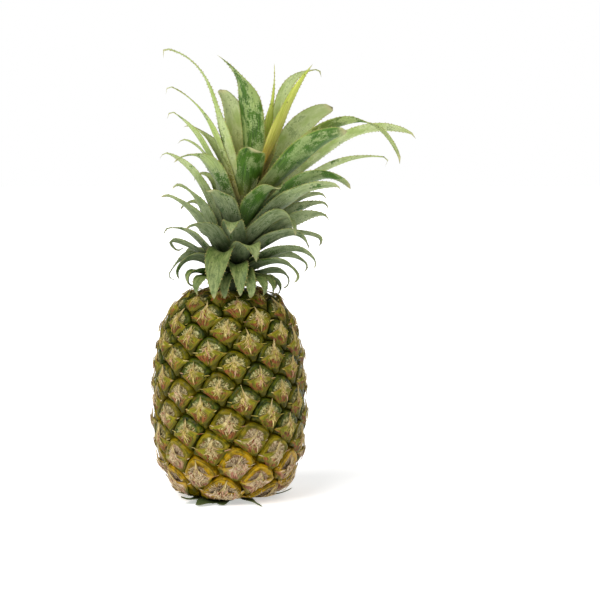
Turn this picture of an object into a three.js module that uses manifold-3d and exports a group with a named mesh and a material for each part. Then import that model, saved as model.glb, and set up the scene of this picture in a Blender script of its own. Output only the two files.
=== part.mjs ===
// A whole ripe pineapple, standing on its cut stalk: the fruit with its spiral of eyes, the crown
// of toothed leaves, the young leaves at the crown's heart, and the stalk with its basal leaves.
// Millimetres, +Z up. The origin is the centre of the stalk's cut face; -Y is the front.
// Azimuths are degrees from the front, positive towards +X.
import * as THREE from "three";
import { ConvexHull } from "three/addons/math/ConvexHull.js";
import { mergeVertices } from "three/addons/utils/BufferGeometryUtils.js";
import Module from "manifold-3d";

const wasm = await Module();
wasm.setup();

// Fruit body, measured in the grooves between the eyes
const FRUIT_RADIUS = 54.7;
const WIDEST_Z = 63;
const UPPER_HEIGHT = 95.5;
const LOWER_HEIGHT = 63.5;
const UNDERSIDE_Z = 7.5;
const LOWEST_Z = 4.8;
const UPPER_POWERS = [2 / 2.6, 0.5];
const LOWER_POWERS = [2 / 2.2, 2 / 3];

// Eyes: the spiral runs from the top down, each eye a little larger than the one before
const EYE_COUNT = 118;
const DIVERGENCE = 137.477;
const FIRST_EYE_AZIMUTH = -60.25;
const FIRST_EYE_SWEPT_AREA = 1010;
const FIRST_EYE_AREA = 331;
const EYE_AREA_STEP = 1.88;
const RIM_HEIGHT = 3.6;
const DISH_DEPTH = 0.7;
const BRACT_SWELL = 1.5;
const BRACT_TIP_HEIGHT = 7;
const BRACT_TIP_REACH = 0.3;
const PIT_REACH = 0.4;
const PIT_HEIGHT = 2.9;
const RIM_EDGE = 0.84;
const INNER_EDGE = 0.46;
const RIM_POWER = 7;
const DISH_FROM = 0.08;
const BORDER_RISE = 0.1;

// Fineness of the round solids and of the outline, and how near two vertices are one
const WIDE_SIDES = 24;
const STEM_SIDES = 16;
const HEART_SIDES = 12;
const OUTLINE_STEPS = 600;
const LEAST_DIAMETER = 0.2;
const SAME_VERTEX = 1e-4;

// Crown
const STEM_FOOT_Z = 150;
const STEM_TOP_Z = 244;
const STEM_FOOT_RADIUS = 12;
const STEM_TOP_RADIUS = 4;
const STEM_LEAN = 0.21;
const LEAN_START_Z = 167;
const ROOT_DEPTH = 2.5;
const HEART_FOOT_Z = 238;
const HEART_RADIUS = 2.5;
const HEART_ROOT_RADIUS = 1;
const HEART_CLEARANCE = 0.45;
const HEART_CORE_RISE = 4;
const BLADE_THICKNESS = 1.5;
const LEAST_ROOT_RADIUS = 0.5;
const TIP_THINNING = 0.5;
const TURN_ENDS_AT = 0.5;
const PLAIN_SHARE = { foot: 0.86, swell: 0.4, power: 2.3, fall: 0.95 };
const BLUNT_SHARE = { foot: 0.9, swell: 0.25, power: 7, fall: 0.55 };
const DRAWN_OUT_LOSS = 1.5;
const MOST_LOST = 0.75;
const DRAWN_OUT_FROM = [0.8, 0.3];
const DRAWN_OUT_OVER = 0.22;
const TOP_SEGMENTS = 10;
const UPPER_SEGMENTS = 8;
const LOWER_SEGMENTS = 6;
const BASAL_SEGMENTS = 7;
const STEM_HOLE_RISE = 30;
const ENVELOPE_DROP = 40;
const ENVELOPE_LEAST_RADIUS = 20;
const ENVELOPE_STEP = 4;
const TOOTH = 0.8;
const CROWN_CHANNEL = [0.34, 0.14];
const BASAL_CHANNEL = [0.04, 0.02];
const FLAT = [0, 0];
const FIT_GAP = 0.3;
const SLIVER = 0.06;

// Stalk under the fruit
const STALK_RADIUS = 13;
const STALK_HEIGHT = 14;
const STALK_CHAMFER = 0.6;
const BASAL_ROOT_RADIUS = 9;

// Leaves: azimuth, root height, how far out from the root's axis the tip ends, the tip's height,
// the blade's angles from the vertical where it leaves the stem and where it ends, its width, how
// far the blade has turned its outer face to the front by half its length, and its taper, from -1
// for a blade drawn out to a thread to 1 for a blunt one
const TOP_LEAVES = [
  [-62, 236, 75, 348, 30, 84, 13, 40, -1],
  [-70, 238, 25, 343, -10, 58, 23, 50, -0.4],
  [-148, 226, 38, 317, 14, 66, 23, 0, 0.6],
  [122, 238, 70, 333, 42, 89, 14, -30, -0.2],
  [126, 230, 84, 303, 50, 81, 19, -35, 1],
  [84, 228, 121, 260, 35, 160, 16, 40, -0.2],
  [66, 225, 86, 285, 49, 87, 19, 50, 0.6],
  [97, 219, 137, 281, 51, 114, 16, 45, 0],
  [-71, 224, 65, 321, 19, 74, 11, 12, -0.6],
  [17, 226, 31, 271, 5, 76, 21, 24, 1],
];
const UPPER_LEAVES = [
  [95, 214, 119, 263, 55, 104, 11, 35, -0.2],
  [72, 210, 90, 242, 52, 130, 17, 45, 0.2],
  [-84, 214, 58, 303, 20, 61, 13, 20, -0.3],
  [-62, 211, 57, 262, 17, 121, 18, 16, -0.3],
  [-99, 206, 49, 280, 25, 79, 11, 10, 0],
  [36, 206, 54, 242, 28, 104, 20, 0, 0.5],
  [-36, 204, 38, 240, 24, 88, 21, 0, 0.5],
  [61, 201, 92, 244, 44, 99, 16, 40, 0],
  [92, 199, 73, 229, 60, 99, 14, 45, 0],
  [-91, 195, 60, 270, 22, 76, 14, 35, -0.3],
  [100, 200, 72, 235, 66, 102, 12, 30, 0],
];
const MIDDLE_LEAVES = [
  [79, 195, 75, 220, 70, 105, 15, 50, 0],
  [-74, 191, 51, 246, 36, 78, 15, 24, -0.4],
  [57, 194, 55, 206, 41, 172, 19, 20, 0],
  [-3, 190, 40, 208, 28, 155, 21, 0, 0],
  [-86, 184, 56, 237, 27, 77, 14, 30, -0.2],
  [94, 189, 72, 199, 54, 124, 13, 30, 0],
  [71, 188, 62, 196, 60, 151, 17, 30, 0],
  [-44, 190, 52, 211, 50, 121, 20, 20, -0.2],
  [90, 182, 61, 177, 72, 149, 13, 25, 0],
  [22, 180, 52, 187, 38, 162, 21, 0, 0],
  [-92, 178, 56, 208, 32, 112, 15, 30, -0.6],
];
const FOOT_LEAVES = [
  [70, 179, 72, 181, 62, 151, 14, 25, -0.2],
  [-79, 180, 39, 189, 50, 230, 11, 25, 0],
  [-15, 182, 50, 159, 30, 178, 23, 0, 0],
  [-96, 177, 52, 167, 30, 163, 11, 25, -0.6],
  [62, 175, 61, 169, 60, 166, 15, 15, -0.2],
  [-70, 172, 44, 171, 26, 174, 14, 25, 0],
  [80, 172, 45, 162, 74, 197, 12, 25, -0.4],
  [10, 177, 46, 161, 44, 178, 18, 0, 0],
  [-56, 168, 34, 163, 44, 215, 13, 10, 0],
  [-4, 171, 43, 158, 50, 178, 14, 0, 0],
  [23, 172, 45, 158, 52, 178, 15, 0, 0],
  [-38, 167, 40, 160, 48, 178, 15, 0, 0],
  [41, 168, 44, 159, 54, 178, 14, 0, 0],
  [58, 167, 42, 160, 52, 178, 13, 0, 0],
  [88, 167, 40, 157, 70, 189, 11, 20, -0.2],
];

// Leaves of the far side follow the spiral, their form changing evenly from foot to top
const FAR_LEAVES = 17;
const FAR_MIDDLE_AZIMUTH = 187;
const FAR_SPREAD = 140;
const GOLDEN_SHARE = 0.618034;
const FAR_FOOT = [165, 42, 159, 56, 178, 14, 0, 0];
const FAR_TOP = [222, 54, 290, 20, 80, 17, 0, 0];

// Young narrow leaves in the middle of the crown
const HEART_LEAVES = [
  [80, 242, 50, 336, 30, 41, 11, 45, -0.2],
  [112, 246, 20, 337, 20, -3, 12, 70, -0.6],
  [170, 246, 20, 312, 8, 16, 8, 0, 0],
];

const BASAL_LEAVES = [
  [-44, 3.2, 52, 6, 93, 70, 15, 0, 0.3],
  [-26, 3.2, 51, 1.4, 90, 94, 17, 0, 0.5],
  [-8, 3.2, 44, 1.4, 90, 94, 15, 0, 0.5],
  [-80, 3.2, 41, 4, 90, 80, 9, 0, 0],
  [28, 3.2, 57, 1.2, 90, 95, 8, 0, -0.5],
  [74, 3.2, 51, 9, 92, 55, 4, 0, -0.3],
  [100, 3.2, 40, 2.4, 90, 90, 11, 0, 0],
  [140, 3.2, 43, 1.8, 90, 94, 12, 0, 0],
  [-170, 3.2, 42, 2, 90, 94, 12, 0, 0],
  [-120, 3.2, 43, 1.8, 90, 94, 12, 0, 0],
];

// Each piece's colour and roughness
const FRUIT_LOOK = [0x8a8a34, 0.55];
const CROWN_LOOK = [0x6f8c5c, 0.5];
const HEART_LOOK = [0xb5b84e, 0.5];
const STALK_LOOK = [0x5e7046, 0.7];

const radians = THREE.MathUtils.degToRad;

// A geometry's closed surface as a manifold solid
function solidOf(geometry) {
  const bare = geometry.clone();
  bare.deleteAttribute("normal");
  bare.deleteAttribute("uv");
  const merged = mergeVertices(bare, SAME_VERTEX);
  return new wasm.Manifold(
    new wasm.Mesh({
      numProp: 3,
      vertProperties: merged.attributes.position.array,
      triVerts: new Uint32Array(merged.index.array),
    }),
  );
}

function geometryOf(solid) {
  const { vertProperties, triVerts, numProp, numVert } = solid.getMesh();
  const positions = new Float32Array(numVert * 3);
  for (let i = 0; i < numVert; i++) {
    positions.set(vertProperties.subarray(i * numProp, i * numProp + 3), i * 3);
  }
  const geometry = new THREE.BufferGeometry()
    .setAttribute("position", new THREE.BufferAttribute(positions, 3))
    .setIndex(new THREE.BufferAttribute(new Uint32Array(triVerts), 1));
  geometry.computeVertexNormals();
  return geometry;
}

// A solid of revolution about Z from [radius, height] pairs
function turned(profile, segments) {
  const points = profile.map(([r, z]) => new THREE.Vector2(r, z));
  return new THREE.LatheGeometry(points, segments).rotateX(Math.PI / 2);
}

// The part that is left in one piece: offcuts of a trim are dropped
function largestPiece(solid) {
  return solid.decompose().reduce((a, b) => (a.volume() > b.volume() ? a : b));
}

// ---- Fruit ----

// The body's outline from the crown down to the underside's edge, with the area swept so far
// and the conformal height, in which the surface unrolls onto a sphere without distorting
// angles, so that neighbours on the sphere are neighbours on the fruit
function bodyOutline(steps) {
  const rows = [];
  const quarter = (from, to, height, [zPower, rPower], sign) => {
    for (let i = 0; i <= steps; i++) {
      const w = THREE.MathUtils.lerp(from, to, i / steps);
      const r = FRUIT_RADIUS * Math.max(0, Math.cos(w)) ** rPower;
      rows.push({ r, z: WIDEST_Z + sign * height * Math.sin(w) ** zPower });
    }
  };
  quarter(Math.PI / 2, 0, UPPER_HEIGHT, UPPER_POWERS, 1);
  rows.pop();
  quarter(0, Math.PI / 2, LOWER_HEIGHT, LOWER_POWERS, -1);
  const outline = rows.filter((row) => row.z >= UNDERSIDE_Z);
  const edge = outline[outline.length - 1].r;
  for (let i = 1; i <= steps; i++) {
    outline.push({ r: edge * (1 - i / steps), z: UNDERSIDE_Z });
  }
  let area = 0;
  let height = 0;
  outline.forEach((row, i) => {
    const before = outline[Math.max(0, i - 1)];
    const step = Math.hypot(row.r - before.r, row.z - before.z);
    area += Math.PI * (row.r + before.r) * step;
    height -= (2 * step) / Math.max(row.r + before.r, LEAST_DIAMETER);
    row.area = area;
    row.conformal = height;
  });
  const middle = outline.find((row) => row.z <= WIDEST_Z).conformal;
  outline.forEach((row) => (row.conformal -= middle));
  return outline;
}

const outline = bodyOutline(OUTLINE_STEPS);

// The outline's row where a rising or falling quantity reaches a value
function outlineAt(key, value) {
  const falling = outline[0][key] > outline[outline.length - 1][key];
  let low = 0;
  let high = outline.length - 1;
  while (high - low > 1) {
    const mid = (low + high) >> 1;
    if (outline[mid][key] < value !== falling) low = mid;
    else high = mid;
  }
  return low;
}

// Position and tangent frame at a place on the body
function placeOn(row, azimuth) {
  const above = outline[Math.max(0, row - 2)];
  const below = outline[Math.min(outline.length - 1, row + 2)];
  const run = Math.hypot(above.r - below.r, above.z - below.z);
  const dr = (above.r - below.r) / run;
  const dz = (above.z - below.z) / run;
  const [sin, cos] = [Math.sin(azimuth), Math.cos(azimuth)];
  const { r, z } = outline[row];
  return {
    position: new THREE.Vector3(r * sin, -r * cos, z),
    side: new THREE.Vector3(cos, sin, 0),
    up: new THREE.Vector3(dr * sin, -dr * cos, dz),
    normal: new THREE.Vector3(dz * sin, -dz * cos, -dr),
  };
}

function sphereFrom(row, azimuth) {
  const latitude = 2 * Math.atan(Math.exp(outline[row].conformal)) - Math.PI / 2;
  return new THREE.Vector3(
    Math.cos(latitude) * Math.sin(azimuth),
    -Math.cos(latitude) * Math.cos(azimuth),
    Math.sin(latitude),
  );
}

function placeFromSphere(point) {
  const latitude = Math.asin(THREE.MathUtils.clamp(point.z, -1, 1));
  const conformal = Math.log(Math.tan(Math.PI / 4 + latitude / 2));
  const azimuth = Math.atan2(point.x, -point.y);
  return placeOn(outlineAt("conformal", conformal), azimuth);
}

// Every eye's place, then the two poles
function eyeCentres() {
  const eyes = [];
  for (let k = 0; k < EYE_COUNT; k++) {
    const swept =
      FIRST_EYE_SWEPT_AREA + FIRST_EYE_AREA * k + (EYE_AREA_STEP / 2) * k * k;
    const row = outlineAt("area", swept);
    const azimuth = radians(FIRST_EYE_AZIMUTH + DIVERGENCE * k);
    eyes.push({ ...placeOn(row, azimuth), sphere: sphereFrom(row, azimuth) });
  }
  const pole = (sign, z) => ({
    position: new THREE.Vector3(0, 0, z),
    side: new THREE.Vector3(1, 0, 0),
    up: new THREE.Vector3(0, sign, 0),
    normal: new THREE.Vector3(0, 0, sign),
    sphere: new THREE.Vector3(0, 0, sign),
    isPole: true,
  });
  eyes.push(pole(1, WIDEST_Z + UPPER_HEIGHT), pole(-1, UNDERSIDE_Z));
  return eyes;
}

// The corners where three cells meet, listed for each cell in turn about its centre
function cellCorners(cells) {
  const indexOf = new Map(cells.map((cell, i) => [cell.sphere, i]));
  const hull = new ConvexHull().setFromPoints(cells.map((cell) => cell.sphere));
  const rings = cells.map(() => []);
  hull.faces.forEach((face, id) => {
    const members = [];
    let edge = face.edge;
    do {
      members.push(indexOf.get(edge.head().point));
      edge = edge.next;
    } while (edge !== face.edge);
    const { position } = placeFromSphere(face.normal);
    members.forEach((member) => rings[member].push({ id, position, sphere: face.normal }));
  });
  rings.forEach((ring, i) => {
    const { position, side, up } = cells[i];
    ring.forEach((corner) => {
      const arm = corner.position.clone().sub(position);
      corner.angle = Math.atan2(arm.dot(up), arm.dot(side));
    });
    ring.sort((a, b) => a.angle - b.angle);
  });
  return rings;
}

// Rim high all round; the bract swells the lower half and the dish sinks the upper half
function eyeHeight(edge, upward) {
  const rim = RIM_HEIGHT * (1 - edge ** RIM_POWER);
  const inward = 1 - edge;
  return rim + inward * (upward < 0 ? BRACT_SWELL - upward : -DISH_DEPTH * 2);
}

// The lowest eyes are pressed flat under the fruit's weight
function pressed(point) {
  point.z = Math.max(point.z, LOWEST_Z);
  return point;
}

// The middle of the side between two corners, risen along the surface, so that every eye has an
// arched top that its upper neighbours' feet give way to
function archedMiddle(a, b) {
  const run = b.position.clone().sub(a.position);
  const middle = a.position.clone().lerp(b.position, 0.5);
  const { up, normal } = placeFromSphere(a.sphere.clone().add(b.sphere).normalize());
  const across = run.clone().cross(normal).normalize();
  return middle.addScaledVector(across, BORDER_RISE * run.length() * across.dot(up));
}

function fruitSurface() {
  const cells = eyeCentres();
  const rings = cellCorners(cells);
  const vertices = [];
  const triangles = [];
  const shared = new Map();
  const addVertex = (v) => vertices.push(v) - 1;
  const sharedVertex = (key, make) => {
    if (!shared.has(key)) shared.set(key, addVertex(make()));
    return shared.get(key);
  };
  // Corners and the middles of the sides between them, all in the groove
  const borderOf = (ring) =>
    ring.flatMap((corner, i) => {
      const next = ring[(i + 1) % ring.length];
      const key = [corner.id, next.id].sort((a, b) => a - b).join("-");
      return [
        sharedVertex(`${corner.id}`, () => corner.position),
        sharedVertex(key, () => archedMiddle(corner, next)),
      ];
    });
  cells.forEach((cell, i) => {
    const border = borderOf(rings[i]);
    const size = border.length;
    if (cell.isPole) {
      const centre = addVertex(cell.position);
      border.forEach((v, j) => triangles.push([centre, v, border[(j + 1) % size]]));
      return;
    }
    const { position, side, up, normal } = cell;
    const reach = Math.sqrt(
      border.reduce((sum, v) => sum + vertices[v].distanceToSquared(position), 0) / size,
    );
    const raised = (v, edge) => {
      const arm = vertices[v].clone().sub(position);
      const upward = arm.dot(up) / reach;
      const height = eyeHeight(edge, upward);
      return addVertex(
        pressed(position.clone().addScaledVector(arm, edge).addScaledVector(normal, height)),
      );
    };
    const rim = border.map((v) => raised(v, RIM_EDGE));
    const inner = border.filter((v, j) => j % 2 === 0).map((v) => raised(v, INNER_EDGE));
    const local = (y, h) =>
      addVertex(pressed(position.clone().addScaledVector(up, y).addScaledVector(normal, h)));
    const tip = local(reach * BRACT_TIP_REACH, BRACT_TIP_HEIGHT);
    const pit = local(reach * PIT_REACH, PIT_HEIGHT);
    for (let j = 0; j < size; j++) {
      const k = (j + 1) % size;
      triangles.push([border[j], border[k], rim[k]], [border[j], rim[k], rim[j]]);
    }
    const count = inner.length;
    const isUpper = inner.map((v) => {
      const arm = vertices[v].clone().sub(position);
      return arm.dot(up) > DISH_FROM * reach;
    });
    for (let j = 0; j < count; j++) {
      const k = (j + 1) % count;
      const [a, b, c] = [rim[2 * j], rim[2 * j + 1], rim[(2 * j + 2) % size]];
      triangles.push([a, b, inner[j]], [b, inner[k], inner[j]], [b, c, inner[k]]);
      const apex = isUpper[j] && isUpper[k] ? pit : tip;
      triangles.push([inner[j], inner[k], apex]);
      if (isUpper[j] !== isUpper[k]) {
        const shoulder = isUpper[j] ? inner[j] : inner[k];
        triangles.push(isUpper[j] ? [shoulder, tip, pit] : [tip, shoulder, pit]);
      }
    }
  });
  return new THREE.BufferGeometry()
    .setAttribute(
      "position",
      new THREE.BufferAttribute(
        new Float32Array(vertices.flatMap((v) => v.toArray())),
        3,
      ),
    )
    .setIndex(triangles.flat());
}

function fruitGeometry() {
  const stemHole = turned(
    [
      [0, STEM_FOOT_Z - FIT_GAP],
      [STEM_FOOT_RADIUS + FIT_GAP, STEM_FOOT_Z - FIT_GAP],
      [STEM_FOOT_RADIUS + FIT_GAP, STEM_FOOT_Z + STEM_HOLE_RISE],
      [0, STEM_FOOT_Z + STEM_HOLE_RISE],
    ],
    WIDE_SIDES,
  );
  const stalkHole = turned(
    [
      [0, 0],
      [STALK_RADIUS + FIT_GAP, 0],
      [STALK_RADIUS + FIT_GAP, STALK_HEIGHT + FIT_GAP],
      [0, STALK_HEIGHT + FIT_GAP],
    ],
    WIDE_SIDES,
  );
  const body = solidOf(fruitSurface());
  return geometryOf(body.subtract(solidOf(stemHole)).subtract(solidOf(stalkHole)));
}

// ---- Leaves ----

// How far the stem's axis has leant towards +X at a height
function stemShift(z) {
  return STEM_LEAN * Math.max(0, z - LEAN_START_Z);
}

function outwards(azimuth) {
  return new THREE.Vector3(Math.sin(azimuth), -Math.cos(azimuth), 0);
}

// The blade's middle line: a Bezier curve whose control polygon has three equal sides, the first
// and last at the given angles; the side's length follows from the root and the tip
function leafCurve([azimuthDegrees, rootZ, tipOut, tipZ, rootAngle, tipAngle], rootRadius) {
  const out = outwards(radians(azimuthDegrees));
  const axis = new THREE.Vector3(stemShift(rootZ), 0, 0);
  const at = ([reach, z]) => axis.clone().addScaledVector(out, reach).setZ(z);
  const [first, last] = [rootAngle, tipAngle].map((angle) => [
    Math.sin(radians(angle)),
    Math.cos(radians(angle)),
  ]);
  const [spanOut, spanUp] = [tipOut - rootRadius, tipZ - rootZ];
  const [sumOut, sumUp] = [first[0] + last[0], first[1] + last[1]];
  const along = spanOut * sumOut + spanUp * sumUp;
  const span = spanOut ** 2 + spanUp ** 2;
  const excess = sumOut ** 2 + sumUp ** 2 - 1;
  const side = span / (along + Math.sqrt(Math.max(0, along ** 2 - excess * span)));
  return new THREE.CubicBezierCurve3(
    at([rootRadius, rootZ]),
    at([rootRadius + side * first[0], rootZ + side * first[1]]),
    at([tipOut - side * last[0], tipZ - side * last[1]]),
    at([tipOut, tipZ]),
  );
}

// The blade's width along its length, as a share of the full width: nearly even over the lower
// half, then drawn out to a fine point, or kept wide up to a blunt end
function bladeShare(u, taper) {
  const share = ({ foot, swell, power, fall }) => (foot + swell * u) * (1 - u ** power) ** fall;
  const plain = share(PLAIN_SHARE);
  if (taper < 0) {
    const start = THREE.MathUtils.lerp(...DRAWN_OUT_FROM, -taper);
    const loss = Math.min(MOST_LOST, -DRAWN_OUT_LOSS * taper);
    return plain * (1 - loss * THREE.MathUtils.smoothstep(u, start, start + DRAWN_OUT_OVER));
  }
  return THREE.MathUtils.lerp(plain, share(BLUNT_SHARE), taper);
}

// A channelled blade: keel outside, edges turned in, with forward teeth along both edges. Grown
// by an extra amount all round, it makes the room that a neighbouring piece leaves for it.
function leafBlade(leaf, segments, rootRadius, [footChannel, tipChannel], extra = 0) {
  const [azimuthDegrees, , , , , , width, turn, taper] = leaf;
  const azimuth = radians(azimuthDegrees);
  const out = outwards(azimuth);
  const level = new THREE.Vector3(Math.cos(azimuth), Math.sin(azimuth), 0);
  const curve = leafCurve(leaf, rootRadius);
  const rings = [];
  for (let i = 0; i < segments; i++) {
    const u = i / segments;
    const tangent = curve.getTangentAt(u);
    const point = curve.getPointAt(u).addScaledVector(tangent, i === 0 ? -2 * extra : 0);
    const roll = radians(turn) * Math.min(1, u / TURN_ENDS_AT) * Math.sign(azimuthDegrees);
    const side = level.clone().applyAxisAngle(tangent, -roll);
    const keel = new THREE.Vector3().crossVectors(side, tangent);
    const tooth = i > 0 && i % 2 === 0 ? TOOTH : 0;
    const fullness = width * bladeShare(u, taper);
    const half = fullness / 2 + tooth + extra;
    const channel = THREE.MathUtils.lerp(footChannel, tipChannel, u) * fullness;
    const thickness = (BLADE_THICKNESS / 2) * (1 - TIP_THINNING * u) + extra;
    const at = (across, outward) =>
      point.clone().addScaledVector(side, across).addScaledVector(keel, outward);
    rings.push([
      at(-half, -channel / 2),
      at(0, channel / 2 + thickness),
      at(half, -channel / 2),
      at(0, channel / 2 - thickness),
    ]);
  }
  const tip = curve.getPointAt(1).addScaledVector(curve.getTangentAt(1), 4 * extra);
  const vertices = [...rings.flat(), tip];
  const triangles = [
    [0, 2, 1],
    [0, 3, 2],
  ];
  // Both faces are split along the same diagonals, so that they can't cross where a blade twists
  for (let i = 0; i < segments; i++) {
    for (let j = 0; j < 4; j++) {
      const a = 4 * i + j;
      const b = 4 * i + ((j + 1) % 4);
      if (i === segments - 1) triangles.push([a, b, vertices.length - 1]);
      else if (j < 2) triangles.push([a, b, b + 4], [a, b + 4, a + 4]);
      else triangles.push([a, b, a + 4], [b, b + 4, a + 4]);
    }
  }
  return new THREE.BufferGeometry()
    .setAttribute(
      "position",
      new THREE.BufferAttribute(
        new Float32Array(vertices.flatMap((v) => v.toArray())),
        3,
      ),
    )
    .setIndex(triangles.flat());
}

// The far side's leaves, from the foot of the crown upwards
function farLeaves() {
  return Array.from({ length: FAR_LEAVES }, (_, i) => {
    const rise = i / (FAR_LEAVES - 1);
    const share = ((i * GOLDEN_SHARE) % 1) - 0.5;
    const form = FAR_FOOT.map((foot, j) => THREE.MathUtils.lerp(foot, FAR_TOP[j], rise));
    return [FAR_MIDDLE_AZIMUTH + FAR_SPREAD * share, ...form];
  });
}

function crownStem() {
  const stem = turned(
    [
      [0, STEM_FOOT_Z],
      [STEM_FOOT_RADIUS, STEM_FOOT_Z],
      [STEM_FOOT_RADIUS, LEAN_START_Z],
      [STEM_TOP_RADIUS, STEM_TOP_Z],
      [0, STEM_TOP_Z],
    ],
    STEM_SIDES,
  );
  const { position } = stem.attributes;
  for (let i = 0; i < position.count; i++) {
    position.setX(i, position.getX(i) + stemShift(position.getZ(i)));
  }
  return stem;
}

// The space that the fruit's top fills, so that drooping tips are trimmed clear of it
function fruitEnvelope() {
  const clearance = BRACT_TIP_HEIGHT + FIT_GAP;
  const innerRadius = STEM_FOOT_RADIUS + FIT_GAP / 2;
  const foot = STEM_FOOT_Z - ENVELOPE_DROP;
  const profile = [
    [innerRadius, foot],
    [FRUIT_RADIUS, foot],
  ];
  for (let r = FRUIT_RADIUS; r >= ENVELOPE_LEAST_RADIUS; r -= ENVELOPE_STEP) {
    const row = outline.find((o) => o.r >= r - clearance);
    profile.push([r, row.z + clearance]);
  }
  profile.push([innerRadius, WIDEST_Z + UPPER_HEIGHT + clearance], [innerRadius, foot]);
  return turned(profile, WIDE_SIDES);
}

function stemRadius(z) {
  const rise = THREE.MathUtils.clamp((z - LEAN_START_Z) / (STEM_TOP_Z - LEAN_START_Z), 0, 1);
  return THREE.MathUtils.lerp(STEM_FOOT_RADIUS, STEM_TOP_RADIUS, rise);
}

function crownBlade(leaf, segments) {
  const rootRadius = Math.max(stemRadius(leaf[1]) - ROOT_DEPTH, LEAST_ROOT_RADIUS);
  return solidOf(leafBlade(leaf, segments, rootRadius, CROWN_CHANNEL));
}

// The heart's leaves on their own core, grown all round by a clearance where that is wanted
function heartSolid(extra) {
  const core = turned(
    [
      [0, HEART_FOOT_Z - extra],
      [HEART_RADIUS + extra, HEART_FOOT_Z - extra],
      [HEART_RADIUS + extra, STEM_TOP_Z + HEART_CORE_RISE],
      [0, STEM_TOP_Z + HEART_CORE_RISE + extra],
    ],
    HEART_SIDES,
  ).translate(stemShift(STEM_TOP_Z), 0, 0);
  const blades = HEART_LEAVES.map((leaf) =>
    solidOf(leafBlade(leaf, TOP_SEGMENTS, HEART_ROOT_RADIUS, FLAT, extra)),
  );
  return wasm.Manifold.union([solidOf(core), ...blades]);
}

function crownGeometry() {
  const short = [...MIDDLE_LEAVES, ...FOOT_LEAVES, ...farLeaves()];
  const blades = [
    ...TOP_LEAVES.map((leaf) => crownBlade(leaf, TOP_SEGMENTS)),
    ...UPPER_LEAVES.map((leaf) => crownBlade(leaf, UPPER_SEGMENTS)),
    ...short.map((leaf) => crownBlade(leaf, LOWER_SEGMENTS)),
  ];
  const whole = wasm.Manifold.union([solidOf(crownStem()), ...blades]);
  const trimmed = whole.subtract(solidOf(fruitEnvelope())).subtract(heartSolid(HEART_CLEARANCE));
  return geometryOf(largestPiece(trimmed.simplify(SLIVER)));
}

function stalkGeometry() {
  const stub = turned(
    [
      [0, 0],
      [STALK_RADIUS - STALK_CHAMFER, 0],
      [STALK_RADIUS, STALK_CHAMFER],
      [STALK_RADIUS, STALK_HEIGHT],
      [0, STALK_HEIGHT],
    ],
    WIDE_SIDES,
  );
  const blades = BASAL_LEAVES.map((leaf) =>
    solidOf(leafBlade(leaf, BASAL_SEGMENTS, BASAL_ROOT_RADIUS, BASAL_CHANNEL)),
  );
  return geometryOf(wasm.Manifold.union([solidOf(stub), ...blades]));
}

function piece(name, geometry, [color, roughness]) {
  const material = new THREE.MeshStandardMaterial({ color, roughness, metalness: 0 });
  const mesh = new THREE.Mesh(geometry, material);
  mesh.name = name;
  return mesh;
}

const pineapple = new THREE.Group();
pineapple.add(
  piece("fruit", fruitGeometry(), FRUIT_LOOK),
  piece("crown_leaves", crownGeometry(), CROWN_LOOK),
  piece("heart_leaves", geometryOf(heartSolid(0)), HEART_LOOK),
  piece("stalk", stalkGeometry(), STALK_LOOK),
);

export default pineapple;
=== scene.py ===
"""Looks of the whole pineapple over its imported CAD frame: rind with its eyes, dry bracts and
fibres, the crown's toothed leaves, the young heart leaves, and the stalk with its basal leaves.

Lengths in the tables and the shape code are millimetres, in the part's own frame: +Z up, -Y the
front, azimuths in degrees from the front towards +X. Meshes are scaled to metres when made.
Within an eye, x runs across and y upwards, in units of the eye's reach, its mean radius.
"""

import math

import bmesh
import bpy
import numpy as np
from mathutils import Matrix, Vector


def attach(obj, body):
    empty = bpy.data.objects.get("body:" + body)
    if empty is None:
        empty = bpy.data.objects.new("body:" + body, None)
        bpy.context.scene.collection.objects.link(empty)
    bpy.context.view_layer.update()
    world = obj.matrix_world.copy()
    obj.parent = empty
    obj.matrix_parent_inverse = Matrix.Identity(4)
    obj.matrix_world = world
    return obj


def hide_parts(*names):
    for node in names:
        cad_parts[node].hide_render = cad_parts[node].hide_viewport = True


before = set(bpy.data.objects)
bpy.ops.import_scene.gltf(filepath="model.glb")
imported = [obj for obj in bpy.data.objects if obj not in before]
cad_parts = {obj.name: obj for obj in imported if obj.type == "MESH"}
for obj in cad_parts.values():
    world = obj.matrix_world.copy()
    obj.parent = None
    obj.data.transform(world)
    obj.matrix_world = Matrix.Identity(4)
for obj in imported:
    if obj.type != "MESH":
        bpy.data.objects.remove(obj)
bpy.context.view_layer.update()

MM = 0.001
SEED = 7

# ---- Driving dimensions, the same as the solids' ----

FRUIT_RADIUS = 54.7
WIDEST_Z = 63
UPPER_HEIGHT = 95.5
LOWER_HEIGHT = 63.5
UNDERSIDE_Z = 7.5
LOWEST_Z = 4.8
UPPER_POWERS = (2 / 2.6, 0.5)
LOWER_POWERS = (2 / 2.2, 2 / 3)

EYE_COUNT = 118
DIVERGENCE = 137.477
FIRST_EYE_AZIMUTH = -60.25
FIRST_EYE_SWEPT_AREA = 1010
FIRST_EYE_AREA = 331
EYE_AREA_STEP = 1.88
RIM_HEIGHT = 3.6
BRACT_SWELL = 1.5
BRACT_TIP_HEIGHT = 7

STEM_FOOT_Z = 150
STEM_TOP_Z = 244
STEM_FOOT_RADIUS = 12
STEM_TOP_RADIUS = 4
STEM_LEAN = 0.21
LEAN_START_Z = 167
ROOT_DEPTH = 2.5
HEART_ROOT_RADIUS = 1
BLADE_THICKNESS = 1.5
CROWN_CHANNEL = (0.34, 0.14)
HEART_CHANNEL = (0.1, 0.06)
BASAL_CHANNEL = (0.04, 0.02)
STALK_RADIUS = 13
STALK_HEIGHT = 14
BASAL_ROOT_RADIUS = 9

# ---- Finer relief of the eyes ----

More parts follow.
